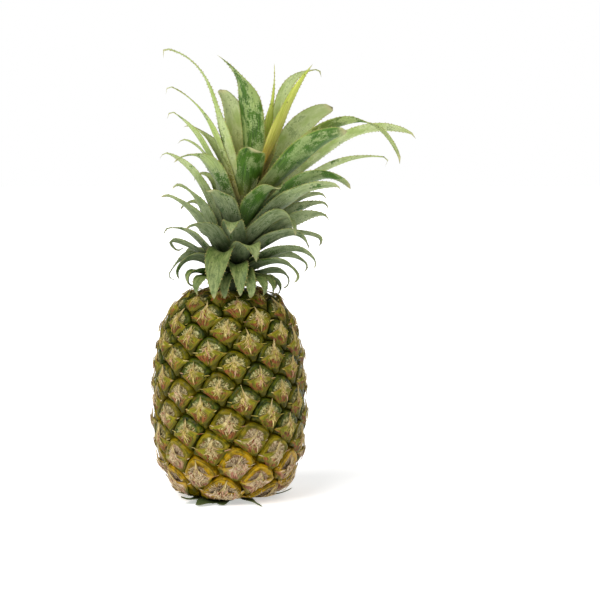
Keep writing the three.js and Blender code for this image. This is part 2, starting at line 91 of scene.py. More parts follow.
OUTLINE_STEPS = 600
SIDE_STEPS = 6
RING_EDGES = (
    0.1, 0.2, 0.3, 0.4, 0.48, 0.55, 0.61, 0.66, 0.71, 0.76, 0.81, 0.85, 0.89, 0.925, 0.955,
    0.98, 1.0,
)
WELD_DECIMALS = 3  # points that agree to so many decimals are one
SHORTEST_SIDE = 0.02
CORNER_ROUNDING = (0.03, 0.07)
RIPE_ROUNDING = 0.06
BORDER_RISE = 0.1
BORDER_WAVER = 0.014
BORDER_WAVER_SIZE = 0.11
BORDER_WAVER_SEEDS = (11, 12, 13)
SKIN_WAVERS = ((7, 1, 0.45), (2.4, 2, 0.22))  # size, seed and height of each
SKIN_WAVER_EASE = 2.5
SHOULDER = 2.8
WING_Y = -0.17
WING_BLEND = 0.14
ARCH_WIDTH = 3.6
RIPE_ARCH_WIDENING = 2.4
ARCH_CROWN = (0.2, 0.9)
PAD_SINK = (0.15, 1.0)
PAD_SINK_RIPENESS = (0.1, 0.6)
PAD_EDGE = 1.8
SWELL_WIDTH = 10
EXTRA_SWELL = 0.4
RIPE_HEIGHTS = (78, 6)
RIPEST_AZIMUTH = 24
FACING_RIPENESS = (0.62, 0.38)
FOOT_RIPENESS = 1.1
# riper low on the left side; the gold there partly paints the light from the left
FLANK_RIPENESS_AND_LIGHT = 0.22
FLANK_HEIGHTS = (150, 90)
RIPENESS_SPREAD = 0.46

# ---- Bracts, hairs and fibres ----

BRACT_STEPS = 16
BRACT_LANES = 12
BRACT_FOOT_Y = -0.97
BRACT_TIP_Y = 0.9
BRACT_LEAN = 0.26
BRACT_LENGTH = (0.62, 1.1)
BRACT_TIP_WIDTH = (0.1, 0.21)
BRACT_TIP_RISE = (0.78, 1.0)
BRACT_THICKNESS = 0.45
BRACT_LEAST_INSET = 0.4
BRACT_LIFT = 0.12
MIDRIB_LIFT = 0.45
BRACT_RAGGEDNESS = 0.34
WING_ROOT = 0.05
WING_REACH = 0.9
WING_REACHES = (0.8, 1.1)
WING_DROOP = (-0.02, 0.24)
WING_CURL = (0.2, 0.9)
FOOT_SINK = 0.9
STREAK_HEIGHT = 0.5
BEND = 25

PAD_HAIRS = 150
HAIR_SHARES = np.array([0, 0.5, 1])
HAIR_AZIMUTHS = (-50, 230)
HAIR_REACH = 0.42
HAIR_SPREAD = 24
HAIR_LENGTH = (0.1, 0.26)
HAIR_LIFT = (0.1, 0.7)
HAIR_WIDTH = (0.16, 0.42)
HAIR_HEIGHT = 0.2

FIBRE_SHARES = np.array([0, 0.34, 0.68, 1])
STRAW_FIBRES = 30
RIPE_FIBRES = 30
STRAW_SPREAD = 48
STRAW_LENGTH = (0.16, 0.5)
STRAW_LIFT = (-0.1, 0.9)
STRAW_WIDTH = (0.24, 0.56)
STRAW_HEIGHT = 0.26
STRAW_TAPER = 0.55
TIP_FIBRES = 9
TIP_FIBRE_SPREAD = 26
TIP_FIBRE_LENGTH = (0.2, 0.42)
TIP_FIBRE_WIDTH = (0.24, 0.5)
TIP_FIBRE_HEIGHT = 0.3
TIP_FIBRE_TAPER = 0.6
SPIKE_START = 0.7
SPIKE_LENGTH = (0.16, 0.46)
SPIKE_LEAST_INSET = 1.2
SPIKE_LIFT = (0.3, 1.5)
PIN_SWAY = 0.16
PIN_LENGTH = (0.3, 0.6)

# ---- Finer leaves ----

LEAF_STATIONS = 26
LEAF_LANES = 4
STATION_POWER = 0.85
PATH_STEPS = 400
LEAF_SEED = 1000
HEART_NUMBER = 200
BASAL_NUMBER = 300
DRAWN_OUT_LOSS = 1.5
MOST_LOST = 0.75
DRAWN_OUT_FROM = (0.8, 0.3)
DRAWN_OUT_OVER = 0.22
TURNOVERS = {84: 0.73}  # azimuth of a leaf that folds over, and where along it
NO_TURNOVER = 2
TURNOVER_NARROWING = 0.78
TURNOVER_LENGTH = 0.05
ROOT_WIDENING = 0.14
ROLL_SPREAD = 7
MARGIN_WAVES = 2.2
WAVE_HEIGHT = 0.045
LEAST_HALF_THICKNESS = 0.13
FRUIT_CLEARANCE = 4.4
CLEARED_HEIGHT = 40
CLEARANCE_EASE = 8
HOOK_LENGTH = 8
HOOK_TURN = (15, 70)
HOOKED_WIDTHS = (20, 12)
SPINE_GAP = 3.0
SPINE_LENGTH = 1.2
SPINED_FROM = 0.08
SPINED_TO = 0.92
SPINED_SHARE = 0.84
SPINE_SLANT = 0.55
SPINE_ROOT = 0.35
SPINE_FOOT = 0.75
SPINE_THICKNESS = 0.2
STEM_SIDES = 24
STEM_RINGS = range(175, STEM_TOP_Z, 10)
# what a leaf's material reads, with the values that the stem has
STEM_VALUES = {
    "share": 0.1, "lane": 0.0, "along": 5.0, "across": 0.0, "outside": 1.0,
    "seed": 0.5, "rubbed": 0.3, "light": 0.1, "golden": 0.0,
}
STALK_SIDES = 64
STALK_PROFILE = (
    (0.5, 0), (4, 0.15), (8, 0.1), (11.6, 0), (12.7, 0.5), (STALK_RADIUS, 1.4),
    (STALK_RADIUS - 0.3, 4), (STALK_RADIUS, 8), (STALK_RADIUS, STALK_HEIGHT),
)

# ---- Where tones change: noise values, insets in the eyes, and heights in metres ----

MOTTLED = (0.35, 0.65)
GRAINED = (0.38, 0.62)
FUZZED = (0.44, 0.58)
STREAKED = (0.38, 0.6)
VEINED = (0.3, 0.7)
CREST_START = (1.9, 2.3)
CREST_END = (3.0, 2.6)
CREASE_START = (1.3, 1.6)
CREASE_END = (2.1, 1.8)
HIGH_CROWN = (0.22, 0.29)
COOL_CROWN = (0.27, 0.21)
LOW_CROWN = (0.27, 0.2)
SMEARED_CROWN = (0.3, 0.19)

# ---- Stage, lights and camera, in metres ----

FLOOR_REACH = 6
FLOOR_CORNERS = ((-1, -1), (1, -1), (1, 1), (-1, 1))
FLOOR_GLOW = 0.48
SEEN_WORLD = 1.0
DIFFUSE_WORLD = 0.34
MIRRORED_WORLD = 0.14
# name, where it comes from, how wide it is in degrees, and its strength
SUNS = (
    ("key", (-0.52, -0.62, 0.88), 40, 2.3),
    ("fill", (0.7, -0.3, 0.8), 60, 0.46),
)
CAMERA_LENS = 120.5
CAMERA_SENSOR = 36
CAMERA_TARGET = (0.055, 0, 0.154)
CAMERA_ELEVATION = 5.5
CAMERA_DISTANCE = 1.56

# Leaves: azimuth, root height, tip's distance from the root's axis, tip's height, angles from the
# vertical at root and tip, width, turn, taper (-1 drawn out, 1 blunt); then how far the bloom is
# rubbed off, how light the leaf is, and how golden its base
TOP_LEAVES = (
    (-62, 236, 75, 348, 30, 84, 13, 40, -1, 0.2, 0.6, 0.1),
    (-70, 238, 25, 343, -10, 58, 23, 50, -0.4, 0.8, 0.2, 0.1),
    (-148, 226, 38, 317, 14, 66, 23, 0, 0.6, 0.2, 0.9, 0.6),
    (122, 238, 70, 333, 42, 89, 14, -30, -0.2, 0.4, 0.8, 0.4),
    (126, 230, 84, 303, 50, 81, 19, -35, 1, 0.3, 0.9, 0.2),
    (84, 228, 121, 260, 35, 160, 16, 40, -0.2, 0.8, 0.4, 0.5),
    (66, 225, 86, 285, 49, 87, 19, 50, 0.6, 1.0, 0.0, 0.2),
    (97, 219, 137, 281, 51, 114, 16, 45, 0, 0.1, 1.0, 0.1),
    (-71, 224, 65, 321, 19, 74, 11, 12, -0.6, 0.4, 0.4, 0.3),
    (17, 226, 31, 271, 5, 76, 21, 24, 1, 1.0, 0.1, 0.2),
)
UPPER_LEAVES = (
    (95, 214, 119, 263, 55, 104, 11, 35, -0.2, 0.2, 0.6, 0.0),
    (72, 210, 90, 242, 52, 130, 17, 45, 0.2, 0.9, 0.2, 0.0),
    (-84, 214, 58, 303, 20, 61, 13, 20, -0.3, 0.3, 0.5, 0.1),
    (-62, 211, 57, 262, 17, 121, 18, 16, -0.3, 0.5, 0.2, 0.1),
    (-99, 206, 49, 280, 25, 79, 11, 10, 0, 0.2, 0.6, 0.0),
    (36, 206, 54, 242, 28, 104, 20, 0, 0.5, 0.9, 0.1, 0.0),
    (-36, 204, 38, 240, 24, 88, 21, 0, 0.5, 0.2, 0.1, 0.0),
    (61, 201, 92, 244, 44, 99, 16, 40, 0, 0.3, 0.2, 0.0),
    (92, 199, 73, 229, 60, 99, 14, 45, 0, 0.2, 0.4, 0.0),
    (-91, 195, 60, 270, 22, 76, 14, 35, -0.3, 0.2, 0.5, 0.0),
    (100, 200, 72, 235, 66, 102, 12, 30, 0, 0.2, 0.4, 0.0),
)
MIDDLE_LEAVES = (
    (79, 195, 75, 220, 70, 105, 15, 50, 0, 0.2, 0.3, 0.0),
    (-74, 191, 51, 246, 36, 78, 15, 24, -0.4, 0.3, 0.3, 0.0),
    (57, 194, 55, 206, 41, 172, 19, 20, 0, 0.3, 0.2, 0.0),
    (-3, 190, 40, 208, 28, 155, 21, 0, 0, 0.4, 0.1, 0.0),
    (-86, 184, 56, 237, 27, 77, 14, 30, -0.2, 0.2, 0.3, 0.0),
    (94, 189, 72, 199, 54, 124, 13, 30, 0, 0.2, 0.3, 0.0),
    (71, 188, 62, 196, 60, 151, 17, 30, 0, 0.2, 0.1, 0.0),
    (-44, 190, 52, 211, 50, 121, 20, 20, -0.2, 0.2, 0.1, 0.0),
    (90, 182, 61, 177, 72, 149, 13, 25, 0, 0.3, 0.2, 0.0),
    (22, 180, 52, 187, 38, 162, 21, 0, 0, 0.1, 0.1, 0.0),
    (-92, 178, 56, 208, 32, 112, 15, 30, -0.6, 0.2, 0.3, 0.0),
)
FOOT_LEAVES = (
    (70, 179, 72, 181, 62, 151, 14, 25, -0.2, 0.3, 0.1, 0.0),
    (-79, 180, 39, 189, 50, 230, 11, 25, 0, 0.2, 0.1, 0.0),
    (-15, 182, 50, 159, 30, 178, 23, 0, 0, 0.7, 0.0, 0.0),
    (-96, 177, 52, 167, 30, 163, 11, 25, -0.6, 0.2, 0.1, 0.0),
    (62, 175, 61, 169, 60, 166, 15, 15, -0.2, 0.5, 0.0, 0.0),
    (-70, 172, 44, 171, 26, 174, 14, 25, 0, 0.4, 0.0, 0.0),
    (80, 172, 45, 162, 74, 197, 12, 25, -0.4, 0.4, 0.0, 0.0),
    (10, 177, 46, 161, 44, 178, 18, 0, 0, 0.8, 0.0, 0.0),
    (-56, 168, 34, 163, 44, 215, 13, 10, 0, 0.7, 0.0, 0.0),
    (-4, 171, 43, 158, 50, 178, 14, 0, 0, 0.9, 0.0, 0.0),
    (23, 172, 45, 158, 52, 178, 15, 0, 0, 0.8, 0.0, 0.0),
    (-38, 167, 40, 160, 48, 178, 15, 0, 0, 0.8, 0.0, 0.0),
    (41, 168, 44, 159, 54, 178, 14, 0, 0, 0.9, 0.0, 0.0),
    (58, 167, 42, 160, 52, 178, 13, 0, 0, 0.6, 0.0, 0.0),
    (88, 167, 40, 157, 70, 189, 11, 20, -0.2, 0.6, 0.0, 0.0),
)
FAR_LEAVES = 17
FAR_MIDDLE_AZIMUTH = 187
FAR_SPREAD = 140
GOLDEN_SHARE = 0.618034
FAR_FOOT = (165, 42, 159, 56, 178, 14, 0, 0, 0.4, 0.1, 0.0)
FAR_TOP = (222, 54, 290, 20, 80, 17, 0, 0, 0.3, 0.5, 0.2)
HEART_LEAVES = (
    (80, 242, 50, 336, 30, 41, 11, 45, -0.2, 0.0, 0.5, 0.7),
    (112, 246, 20, 337, 20, -3, 12, 70, -0.6, 0.0, 0.3, 0.2),
    (170, 246, 20, 312, 8, 16, 8, 0, 0, 0.0, 0.5, 0.6),
)
BASAL_LEAVES = (
    (-44, 3.2, 52, 6, 93, 70, 15, 0, 0.3, 0.5, 0.2, 0.0),
    (-26, 3.2, 51, 1.4, 90, 94, 17, 0, 0.5, 0.6, 0.1, 0.0),
    (-8, 3.2, 44, 1.4, 90, 94, 15, 0, 0.5, 0.5, 0.1, 0.0),
    (-80, 3.2, 41, 4, 90, 80, 9, 0, 0, 0.5, 0.1, 0.0),
    (28, 3.2, 57, 1.2, 90, 95, 8, 0, -0.5, 0.3, 0.4, 0.0),
    (74, 3.2, 51, 9, 92, 55, 4, 0, -0.3, 0.6, 0.0, 0.0),
    (100, 3.2, 40, 2.4, 90, 90, 11, 0, 0, 0.5, 0.1, 0.0),
    (140, 3.2, 43, 1.8, 90, 94, 12, 0, 0, 0.5, 0.1, 0.0),
    (-170, 3.2, 42, 2, 90, 94, 12, 0, 0, 0.5, 0.1, 0.0),
    (-120, 3.2, 43, 1.8, 90, 94, 12, 0, 0, 0.5, 0.1, 0.0),
)

# ---- Small numeric helpers ----


def normalised(vectors):
    return vectors / np.linalg.norm(vectors, axis=-1, keepdims=True)


def smooth(start, end, value):
    """0 at start, 1 at end, with a smooth rise between; start may be above end."""
    share = np.clip((value - start) / (end - start), 0, 1)
    return share * share * (3 - 2 * share)


def read_rows(places, positions, rows):
    """Rows read off between the given ones, which belong to rising positions."""
    return np.column_stack([np.interp(places, positions, column) for column in rows.T])


def drawn_angle(rng, low, high):
    """A random angle between two values in degrees, in radians."""
    return math.radians(rng.uniform(low, high))


def lattice_value(cells, seed):
    """A fixed pseudo-random number from 0 to 1 for each whole-number cell."""
    mixed = cells @ np.array([127.1, 311.7, 74.7]) + 19.19 * seed
    return np.modf(np.abs(np.sin(mixed)) * 43758.5453)[0]


def value_noise(points, size, seed):
    """Smooth noise from -1 to 1 over points, with features of about the given size."""
    scaled = np.asarray(points) / size
    base = np.floor(scaled)
    share = smooth(0, 1, scaled - base)
    total = np.zeros(len(scaled))
    for corner in np.ndindex(2, 2, 2):
        offset = np.array(corner)
        weight = np.prod(np.where(offset == 1, share, 1 - share), axis=1)
        total += weight * lattice_value(base + offset, seed)
    return 2 * total - 1


# ---- Meshes ----


def placed(name, data):
    """A new object in the scene."""
    thing = bpy.data.objects.new(name, data)
    bpy.context.scene.collection.objects.link(thing)
    return thing


class Mesh:
    """Gathers points, faces and named values per point, and makes one object of them."""

    def __init__(self):
        self.points = []
        self.faces = []
        self.values = {}
        self.count = 0

    def add(self, points, faces, **values):
        self.faces += [[v + self.count for v in face] for face in faces]
        self.points.append(points)
        self.count += len(points)
        for name, value in values.items():
            filled = np.broadcast_to(np.asarray(value, float), len(points))
            self.values.setdefault(name, []).append(filled)

    def piece(self, name, material, slot, *nodes, welded=False):
        """The object, riding on the part's only body in place of the given nodes. Where it is
        welded, points that meet become one, and each face's corners keep values of their own."""
        points, faces = np.vstack(self.points), self.faces
        values = {key: np.concatenate(lists) for key, lists in self.values.items()}
        if welded:
            corners = np.concatenate(faces)
            values = {key: value[corners] for key, value in values.items()}
            rounded = np.round(points, WELD_DECIMALS)
            _, first, kept = np.unique(rounded, axis=0, return_index=True, return_inverse=True)
            points = points[first]
            faces = [kept.reshape(-1)[face].tolist() for face in faces]
        mesh = bpy.data.meshes.new(name)
        mesh.from_pydata((points * MM).tolist(), [], faces)
        for key, value in values.items():
            layer = mesh.attributes.new(key, "FLOAT", "CORNER" if welded else "POINT")
            layer.data.foreach_set("value", value.astype(np.float32))
        mesh.polygons.foreach_set("use_smooth", np.ones(len(mesh.polygons), bool))
        mesh.materials.append(material)
        mesh.update()
        piece = placed(name, mesh)
        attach(piece, "root")
        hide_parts(*nodes)


def loft_faces(count, size, pointed=True):
    """Faces of a tube of count rings with size points each. Its first ring is closed flat, and
    its last one runs to a single point that follows the rings, or is closed flat too."""
    faces = [list(range(size))[::-1]]
    for ring in range(0, (count - 1) * size, size):
        for j in range(size):
            k = (j + 1) % size
            faces.append([ring + j, ring + k, ring + size + k, ring + size + j])
    last = (count - 1) * size
    if pointed:
        return faces + [[last + j, last + (j + 1) % size, last + size] for j in range(size)]
    return faces + [list(range(last, last + size))]


def turned(mesh, profile, sides, **values):
    """A solid of revolution from (radius, height) rows, closed at both ends, which leans as the
    stem does."""
    angles = np.linspace(0, 2 * math.pi, sides, endpoint=False)
    points = [
        (stem_shift(z) + radius * math.cos(angle), radius * math.sin(angle), z)
        for radius, z in profile
        for angle in angles
    ]
    mesh.add(np.array(points), loft_faces(len(profile), sides, pointed=False), **values)


# ---- The fruit's surface ----


def outline_quarter(turn, height, powers):
    """Radius and height of a rounded quarter, which runs from the widest ring to the axis."""
    radius = FRUIT_RADIUS * np.clip(np.cos(turn), 0, 1) ** powers[1]
    return np.column_stack([radius, WIDEST_Z + height * np.sin(turn) ** powers[0]])


def body_outline():
    """The body's outline from the underside's centre up to the crown: radius, height, swept area
    from the top, and the conformal height, in which the surface unrolls onto a sphere."""
    turn = np.linspace(math.pi / 2, 0, OUTLINE_STEPS + 1)
    upper = outline_quarter(turn, UPPER_HEIGHT, UPPER_POWERS)[:-1]
    rows = np.vstack([upper, outline_quarter(turn[::-1], -LOWER_HEIGHT, LOWER_POWERS)])
    rows = rows[rows[:, 1] >= UNDERSIDE_Z]
    inwards = rows[-1, 0] * (1 - np.arange(1, OUTLINE_STEPS + 1) / OUTLINE_STEPS)
    underside = np.column_stack([inwards, np.full(OUTLINE_STEPS, UNDERSIDE_Z)])
    rows = np.vstack([rows, underside])
    step = np.hypot(*np.diff(rows, axis=0).T)
    width = rows[1:, 0] + rows[:-1, 0]
    area = np.concatenate([[0], np.cumsum(math.pi * width * step)])
    conformal = np.concatenate([[0], -np.cumsum(2 * step / np.maximum(width, 0.2))])
    conformal -= conformal[np.argmax(rows[:, 1] <= WIDEST_Z)]
    radius, height = rows[::-1].T
    rise = normalised(np.column_stack([np.gradient(radius), np.gradient(height)]))
    return {
        "radius": radius,
        "height": height,
        "area": area[::-1],
        "conformal": conformal[::-1],
        "rise_out": rise[:, 0],
        "rise_up": rise[:, 1],
    }


OUTLINE = body_outline()


def outline_at(conformal, key):
    return np.interp(conformal, OUTLINE["conformal"], OUTLINE[key])


def sphere_point(conformal, azimuth):
    latitude = 2 * np.arctan(np.exp(conformal)) - math.pi / 2
    level = np.cos(latitude)
    return np.stack([level * np.sin(azimuth), -level * np.cos(azimuth), np.sin(latitude)], axis=-1)


def body_point(sphere):
    """Position and outward direction on the body for points of the sphere."""
    latitude = np.arcsin(np.clip(sphere[..., 2], -1, 1))
    limit = math.pi / 2 - 1e-6
    conformal = np.log(np.tan(math.pi / 4 + np.clip(latitude, -limit, limit) / 2))
    azimuth = np.arctan2(sphere[..., 0], -sphere[..., 1])
    sin, cos = np.sin(azimuth), np.cos(azimuth)
    radius, height = outline_at(conformal, "radius"), outline_at(conformal, "height")
    out, up = outline_at(conformal, "rise_out"), outline_at(conformal, "rise_up")
    position = np.stack([radius * sin, -radius * cos, height], axis=-1)
    normal = normalised(np.stack([up * sin, -up * cos, -out], axis=-1))
    return position, normal


def pressed(points):
    """The lowest eyes are pressed flat under the fruit's weight."""
    points[..., 2] = np.maximum(points[..., 2], LOWEST_Z)
    return points


class Eye:
    """One eye of the rind, with its own flat frame, shape, ripeness and random draws."""

    def __init__(self, index, sphere, corners):
        self.rng = np.random.default_rng([SEED, index])
        self.seed = self.rng.random()
        self.centre = sphere
        self.is_pole = index >= EYE_COUNT
        level = (1.0, 0.0, 0.0) if self.is_pole else (-sphere[1], sphere[0], 0.0)
        self.side = normalised(np.array(level))
        self.up = np.cross(sphere, self.side)
        position, self.normal = body_point(sphere)
        latitude_radius = max(math.hypot(sphere[0], sphere[1]), 1e-6)
        self.scale = math.hypot(position[0], position[1]) / latitude_radius
        flat = self.flattened(corners)
        self.corners = corners[np.argsort(np.arctan2(flat[:, 1], flat[:, 0]))]
        self.border = self.sampled_border()
        self.reach = 1.0
        if not self.is_pole:
            arms = self.flattened(self.border) * self.scale
            self.reach = math.sqrt(np.mean(np.sum(arms**2, axis=1)))
        self.ripe = self.ripeness(math.atan2(position[0], -position[1]), position[2])
        low, high = PAD_SINK
        self.sink = low + (high - low) * smooth(*PAD_SINK_RIPENESS, self.ripe)
        self.arch_width = ARCH_WIDTH + RIPE_ARCH_WIDENING * self.ripe

    def flattened(self, sphere):
        """Sphere points on the plane that touches the sphere at the eye's centre, in radians."""
        arms = sphere / (sphere @ self.centre)[:, None] - self.centre
        return np.column_stack([arms @ self.side, arms @ self.up])

    def sampled_border(self):
        """The eye's border on the sphere, with sides that bow upwards and waver."""
        following = np.roll(self.corners, -1, axis=0)
        steps = np.arange(SIDE_STEPS)[None, :, None] / SIDE_STEPS
        sides = self.corners[:, None] * (1 - steps) + following[:, None] * steps
        middle = normalised(self.corners + following)
        run = following - self.corners
        across = normalised(np.cross(run, middle) + 1e-9)
        level = np.column_stack([-middle[:, 1], middle[:, 0], np.zeros(len(middle))])
        upward = np.cross(middle, normalised(level + 1e-9))
        rise = np.linalg.norm(run, axis=1) * np.sum(across * upward, axis=1) * BORDER_RISE
        sides = sides + (across * rise[:, None])[:, None] * 4 * steps * (1 - steps)
        sides = normalised(sides).reshape(-1, 3)
        wavers = [value_noise(sides, BORDER_WAVER_SIZE, seed) for seed in BORDER_WAVER_SEEDS]
        return normalised(sides + BORDER_WAVER * np.column_stack(wavers))

    def ripeness(self, azimuth, height):
        """The fruit turns gold from its foot upwards, first on the front right. It is riper low on
        the left side too, where the gold partly paints the light that falls from the left.
        """
        least, more = FACING_RIPENESS
        facing = least + more * math.cos(azimuth - math.radians(RIPEST_AZIMUTH))
        foot = smooth(*RIPE_HEIGHTS, height) * facing * FOOT_RIPENESS
        # Riper low on the left side: riper eyes, and gold that partly paints light from the left.
        flank = FLANK_RIPENESS_AND_LIGHT * max(0.0, -math.sin(azimuth)) * smooth(*FLANK_HEIGHTS, height)
        return float(np.clip(foot + flank + RIPENESS_SPREAD * (self.seed - 0.5), 0, 1))

    def inset_at(self, x, y):
        """How far inside the groove a local place is, in mm, with rounded corners."""
        starts = self.flattened(self.corners) * self.scale / self.reach
        sides = np.roll(starts, -1, axis=0) - starts
        long_enough = np.linalg.norm(sides, axis=1) > SHORTEST_SIDE
        starts, sides = starts[long_enough], sides[long_enough]
        square = np.sum(sides**2, axis=1)
        inwards = normalised(np.column_stack([-sides[:, 1], sides[:, 0]]))
        arm_x = x[:, None] - starts[:, 0]
        arm_y = y[:, None] - starts[:, 1]
        along = np.clip((arm_x * sides[:, 0] + arm_y * sides[:, 1]) / square, 0, 1)
        gaps = arm_x * inwards[:, 0] + arm_y * inwards[:, 1]
        gaps = gaps - BORDER_RISE * np.sqrt(square) * inwards[:, 1] * 4 * along * (1 - along)
        low, high = CORNER_ROUNDING
        high = high + RIPE_ROUNDING * self.ripe
        rounding = low + (high - low) * smooth(-0.3, 0.3, y)
        rounded = -rounding * np.log(np.sum(np.exp(-gaps / rounding[:, None]), axis=1))
        return np.maximum(rounded, 0) * self.reach

    def place(self, x, y, height):
        """Points at local x and y, at a height over the groove's level."""
        arm = (x[..., None] * self.side + y[..., None] * self.up) * (self.reach / self.scale)
        position, normal = body_point(normalised(self.centre + arm))
        return pressed(position + normal * np.asarray(height)[..., None])

    def relief(self, x, y):
        """The eye's own height over the groove at local places."""
        return self.height_at(self.inset_at(x, y), y)

    def bract_ground(self, x, y, least_inset=0):
        """The swollen foot's height under a bract, carried on past the wings."""
        inset = np.maximum(self.inset_at(x, y), least_inset)
        return self.height_at(inset, np.minimum(y, WING_Y - WING_BLEND))

    def height_at(self, inset, upward):
        """The rim's arch over a sunken pad above, and the swollen foot of the bract below."""
        shoulder = 1 - np.clip(inset / SHOULDER, 0, 1)
        rim = RIM_HEIGHT * np.sqrt(1 - shoulder**2)
        upper = smooth(WING_Y - WING_BLEND, WING_Y + WING_BLEND, upward)
        crown = np.interp(self.ripe, (0, 1), ARCH_CROWN)
        crown = crown * np.sin(math.pi * np.clip(inset / self.arch_width, 0, 1))
        pad = smooth(self.arch_width, self.arch_width + PAD_EDGE, inset)
        swell = smooth(0, SWELL_WIDTH, inset) * (BRACT_SWELL + EXTRA_SWELL)
        return rim + upper * (crown - self.sink * pad) + (1 - upper) * swell


def eye_spheres():
    """The eyes' centres on the sphere, along the spiral, and its two poles."""
    k = np.arange(EYE_COUNT)
    swept = FIRST_EYE_SWEPT_AREA + FIRST_EYE_AREA * k + EYE_AREA_STEP / 2 * k * k
    conformal = np.interp(swept, OUTLINE["area"][::-1], OUTLINE["conformal"][::-1])
    azimuth = np.radians(FIRST_EYE_AZIMUTH + DIVERGENCE * k)
    return np.vstack([sphere_point(conformal, azimuth), [[0, 0, 1], [0, 0, -1]]])


def all_eyes():
    """Every eye, with the corners where three eyes meet: the faces of the sphere's hull."""
    spheres = eye_spheres()
    hull = bmesh.new()
    for point in spheres:
        hull.verts.new(Vector(point))
    bmesh.ops.convex_hull(hull, input=hull.verts[:])
    corners = [[] for _ in spheres]
    for face in hull.faces:
        members = [int(np.argmax(spheres @ np.array(v.co))) for v in face.verts]
        a, b, c = spheres[members[:3]]
        normal = normalised(np.cross(b - a, c - a))
        normal = normal if normal @ a > 0 else -normal
        for member in members:
            corners[member].append(normal)
    hull.free()
    return [Eye(i, sphere, np.array(corners[i])) for i, sphere in enumerate(spheres)]


# ---- Rind ----


def add_eye(skin, eye):
    """An eye's skin in rings from its centre to its border, with its local places as values."""
    flat = eye.flattened(eye.border)
    size = len(flat)
    edges = np.concatenate([np.zeros(1), np.repeat(RING_EDGES, size)])
    rings = np.vstack([np.zeros((1, 2)), *[flat * edge for edge in RING_EDGES]])
    x, y = (rings * eye.scale / eye.reach).T
    arm = rings[:, :1] * eye.side + rings[:, 1:] * eye.up
    position, normal = body_point(normalised(eye.centre + arm))
    inset = height = np.zeros(len(x))
    if not eye.is_pole:
        inset = eye.inset_at(x, y)
        waver = sum(value_noise(position, wide, seed) * tall for wide, seed, tall in SKIN_WAVERS)
        height = eye.height_at(inset, y) + waver * smooth(0, SKIN_WAVER_EASE, inset)
        height = np.where(edges >= 1, 0, height)
    faces = [[0, 1 + j, 1 + (j + 1) % size] for j in range(size)]
    for start in range(1, 1 + (len(RING_EDGES) - 1) * size, size):
        for j in range(size):
            k = (j + 1) % size
            faces.append([start + j, start + size + j, start + size + k, start + k])
    places = {"inset": inset, "across": x, "upward": y, "ripe": eye.ripe, "seed": eye.seed}
    skin.add(pressed(position + normal * height[:, None]), faces, **places)


def rind_piece(eyes, material):
    """One closed skin, in which neighbouring eyes share their borders."""
    skin = Mesh()
    for eye in eyes:
        add_eye(skin, eye)
    skin.piece("rind", material, "rind", "fruit", welded=True)


# ---- Bracts, hairs and fibres ----


def sheet_faces(steps, lanes):
    """Faces of a closed sheet: a grid of points on top, the same grid below, and the rim."""
    grid = np.arange((steps + 1) * (lanes + 1)).reshape(steps + 1, lanes + 1)
    total = grid.size
    faces = []
    for i in range(steps):
        for j in range(lanes):
            quad = [grid[i, j], grid[i, j + 1], grid[i + 1, j + 1], grid[i + 1, j]]
            faces.append(quad)
            faces.append([v + total for v in reversed(quad)])
    rim = [*grid[0], *grid[1:, -1], *grid[-1, -2::-1], *grid[-2:0:-1, 0]]
    for a, b in zip(rim, rim[1:] + rim[:1]):
        faces.append([b, a, a + total, b + total])
    return [[int(v) for v in face] for face in faces]


BRACT_FACES = sheet_faces(BRACT_STEPS, BRACT_LANES)


def bract_sheet(mesh, eye):
    """A kite-shaped dry bract: rooted low in the eye, a wing to each corner, and a narrow tip
    that stands up over the pad. Returns how far the tip leans."""
    rng = eye.rng
    lean = rng.uniform(-BRACT_LEAN, BRACT_LEAN)
    length = rng.uniform(*BRACT_LENGTH)
    tip_width = rng.uniform(*BRACT_TIP_WIDTH)
    droop = rng.uniform(*WING_DROOP, 2)
    t, s = np.meshgrid(
        np.linspace(0, 1, BRACT_STEPS + 1), np.linspace(-1, 1, BRACT_LANES + 1), indexing="ij"
    )
    t, s = t.ravel(), s.ravel()
    edge = np.abs(s)
    upper = np.clip((t - 0.5) / 0.5, 0, 1)
    lower = np.clip(t / 0.5, 0, 1)
    y = BRACT_FOOT_Y * (1 - lower) + WING_Y * lower + (BRACT_TIP_Y * length - WING_Y) * upper
    y = y + np.where(s < 0, droop[0], droop[1]) * edge**1.5 * lower * (1 - upper)
    drift = np.column_stack([t * 11, np.sign(s) * 5, np.full_like(t, 40 * eye.seed)])
    ragged = 1 + BRACT_RAGGEDNESS * value_noise(drift, 1, 3) * smooth(0.3, 0.5, t)
    wing = (WING_ROOT + WING_REACH * lower**0.8) * (1 - upper) ** 7
    half = wing + tip_width * smooth(0, 0.15, upper) * (1 - upper) ** 0.9
    x = s * half * ragged + lean * upper**1.5
    x = x * np.where(s < 0, rng.uniform(*WING_REACHES), rng.uniform(*WING_REACHES))
    ground = eye.bract_ground(x, y, BRACT_LEAST_INSET)
    tip = BRACT_TIP_HEIGHT * rng.uniform(*BRACT_TIP_RISE)
    height = (ground + BRACT_LIFT + MIDRIB_LIFT * lower * (1 - edge)) * (1 - upper)
    height = height + upper * (ground * 0.25 + tip * 0.75 * (0.75 + 0.25 * upper))
    grain = np.column_stack([s * 9, t * 2.2, np.full_like(s, 90 * eye.seed)])
    streaks = value_noise(grain, 1, 4) * smooth(0.1, 0.4, t) * (1 - 0.6 * upper)
    height += STREAK_HEIGHT * streaks
    height += rng.uniform(*WING_CURL) * edge**3 * lower * (1 - upper)
    height -= FOOT_SINK * smooth(0.1, 0.0, t)
    sides = [eye.place(x, y, height), eye.place(x, y, height - BRACT_THICKNESS)]
    values = {"along": np.tile(t, 2), "lane": np.tile(s, 2), "ripe": eye.ripe, "seed": eye.seed}
    mesh.add(np.vstack(sides), BRACT_FACES, **values)
    return lean


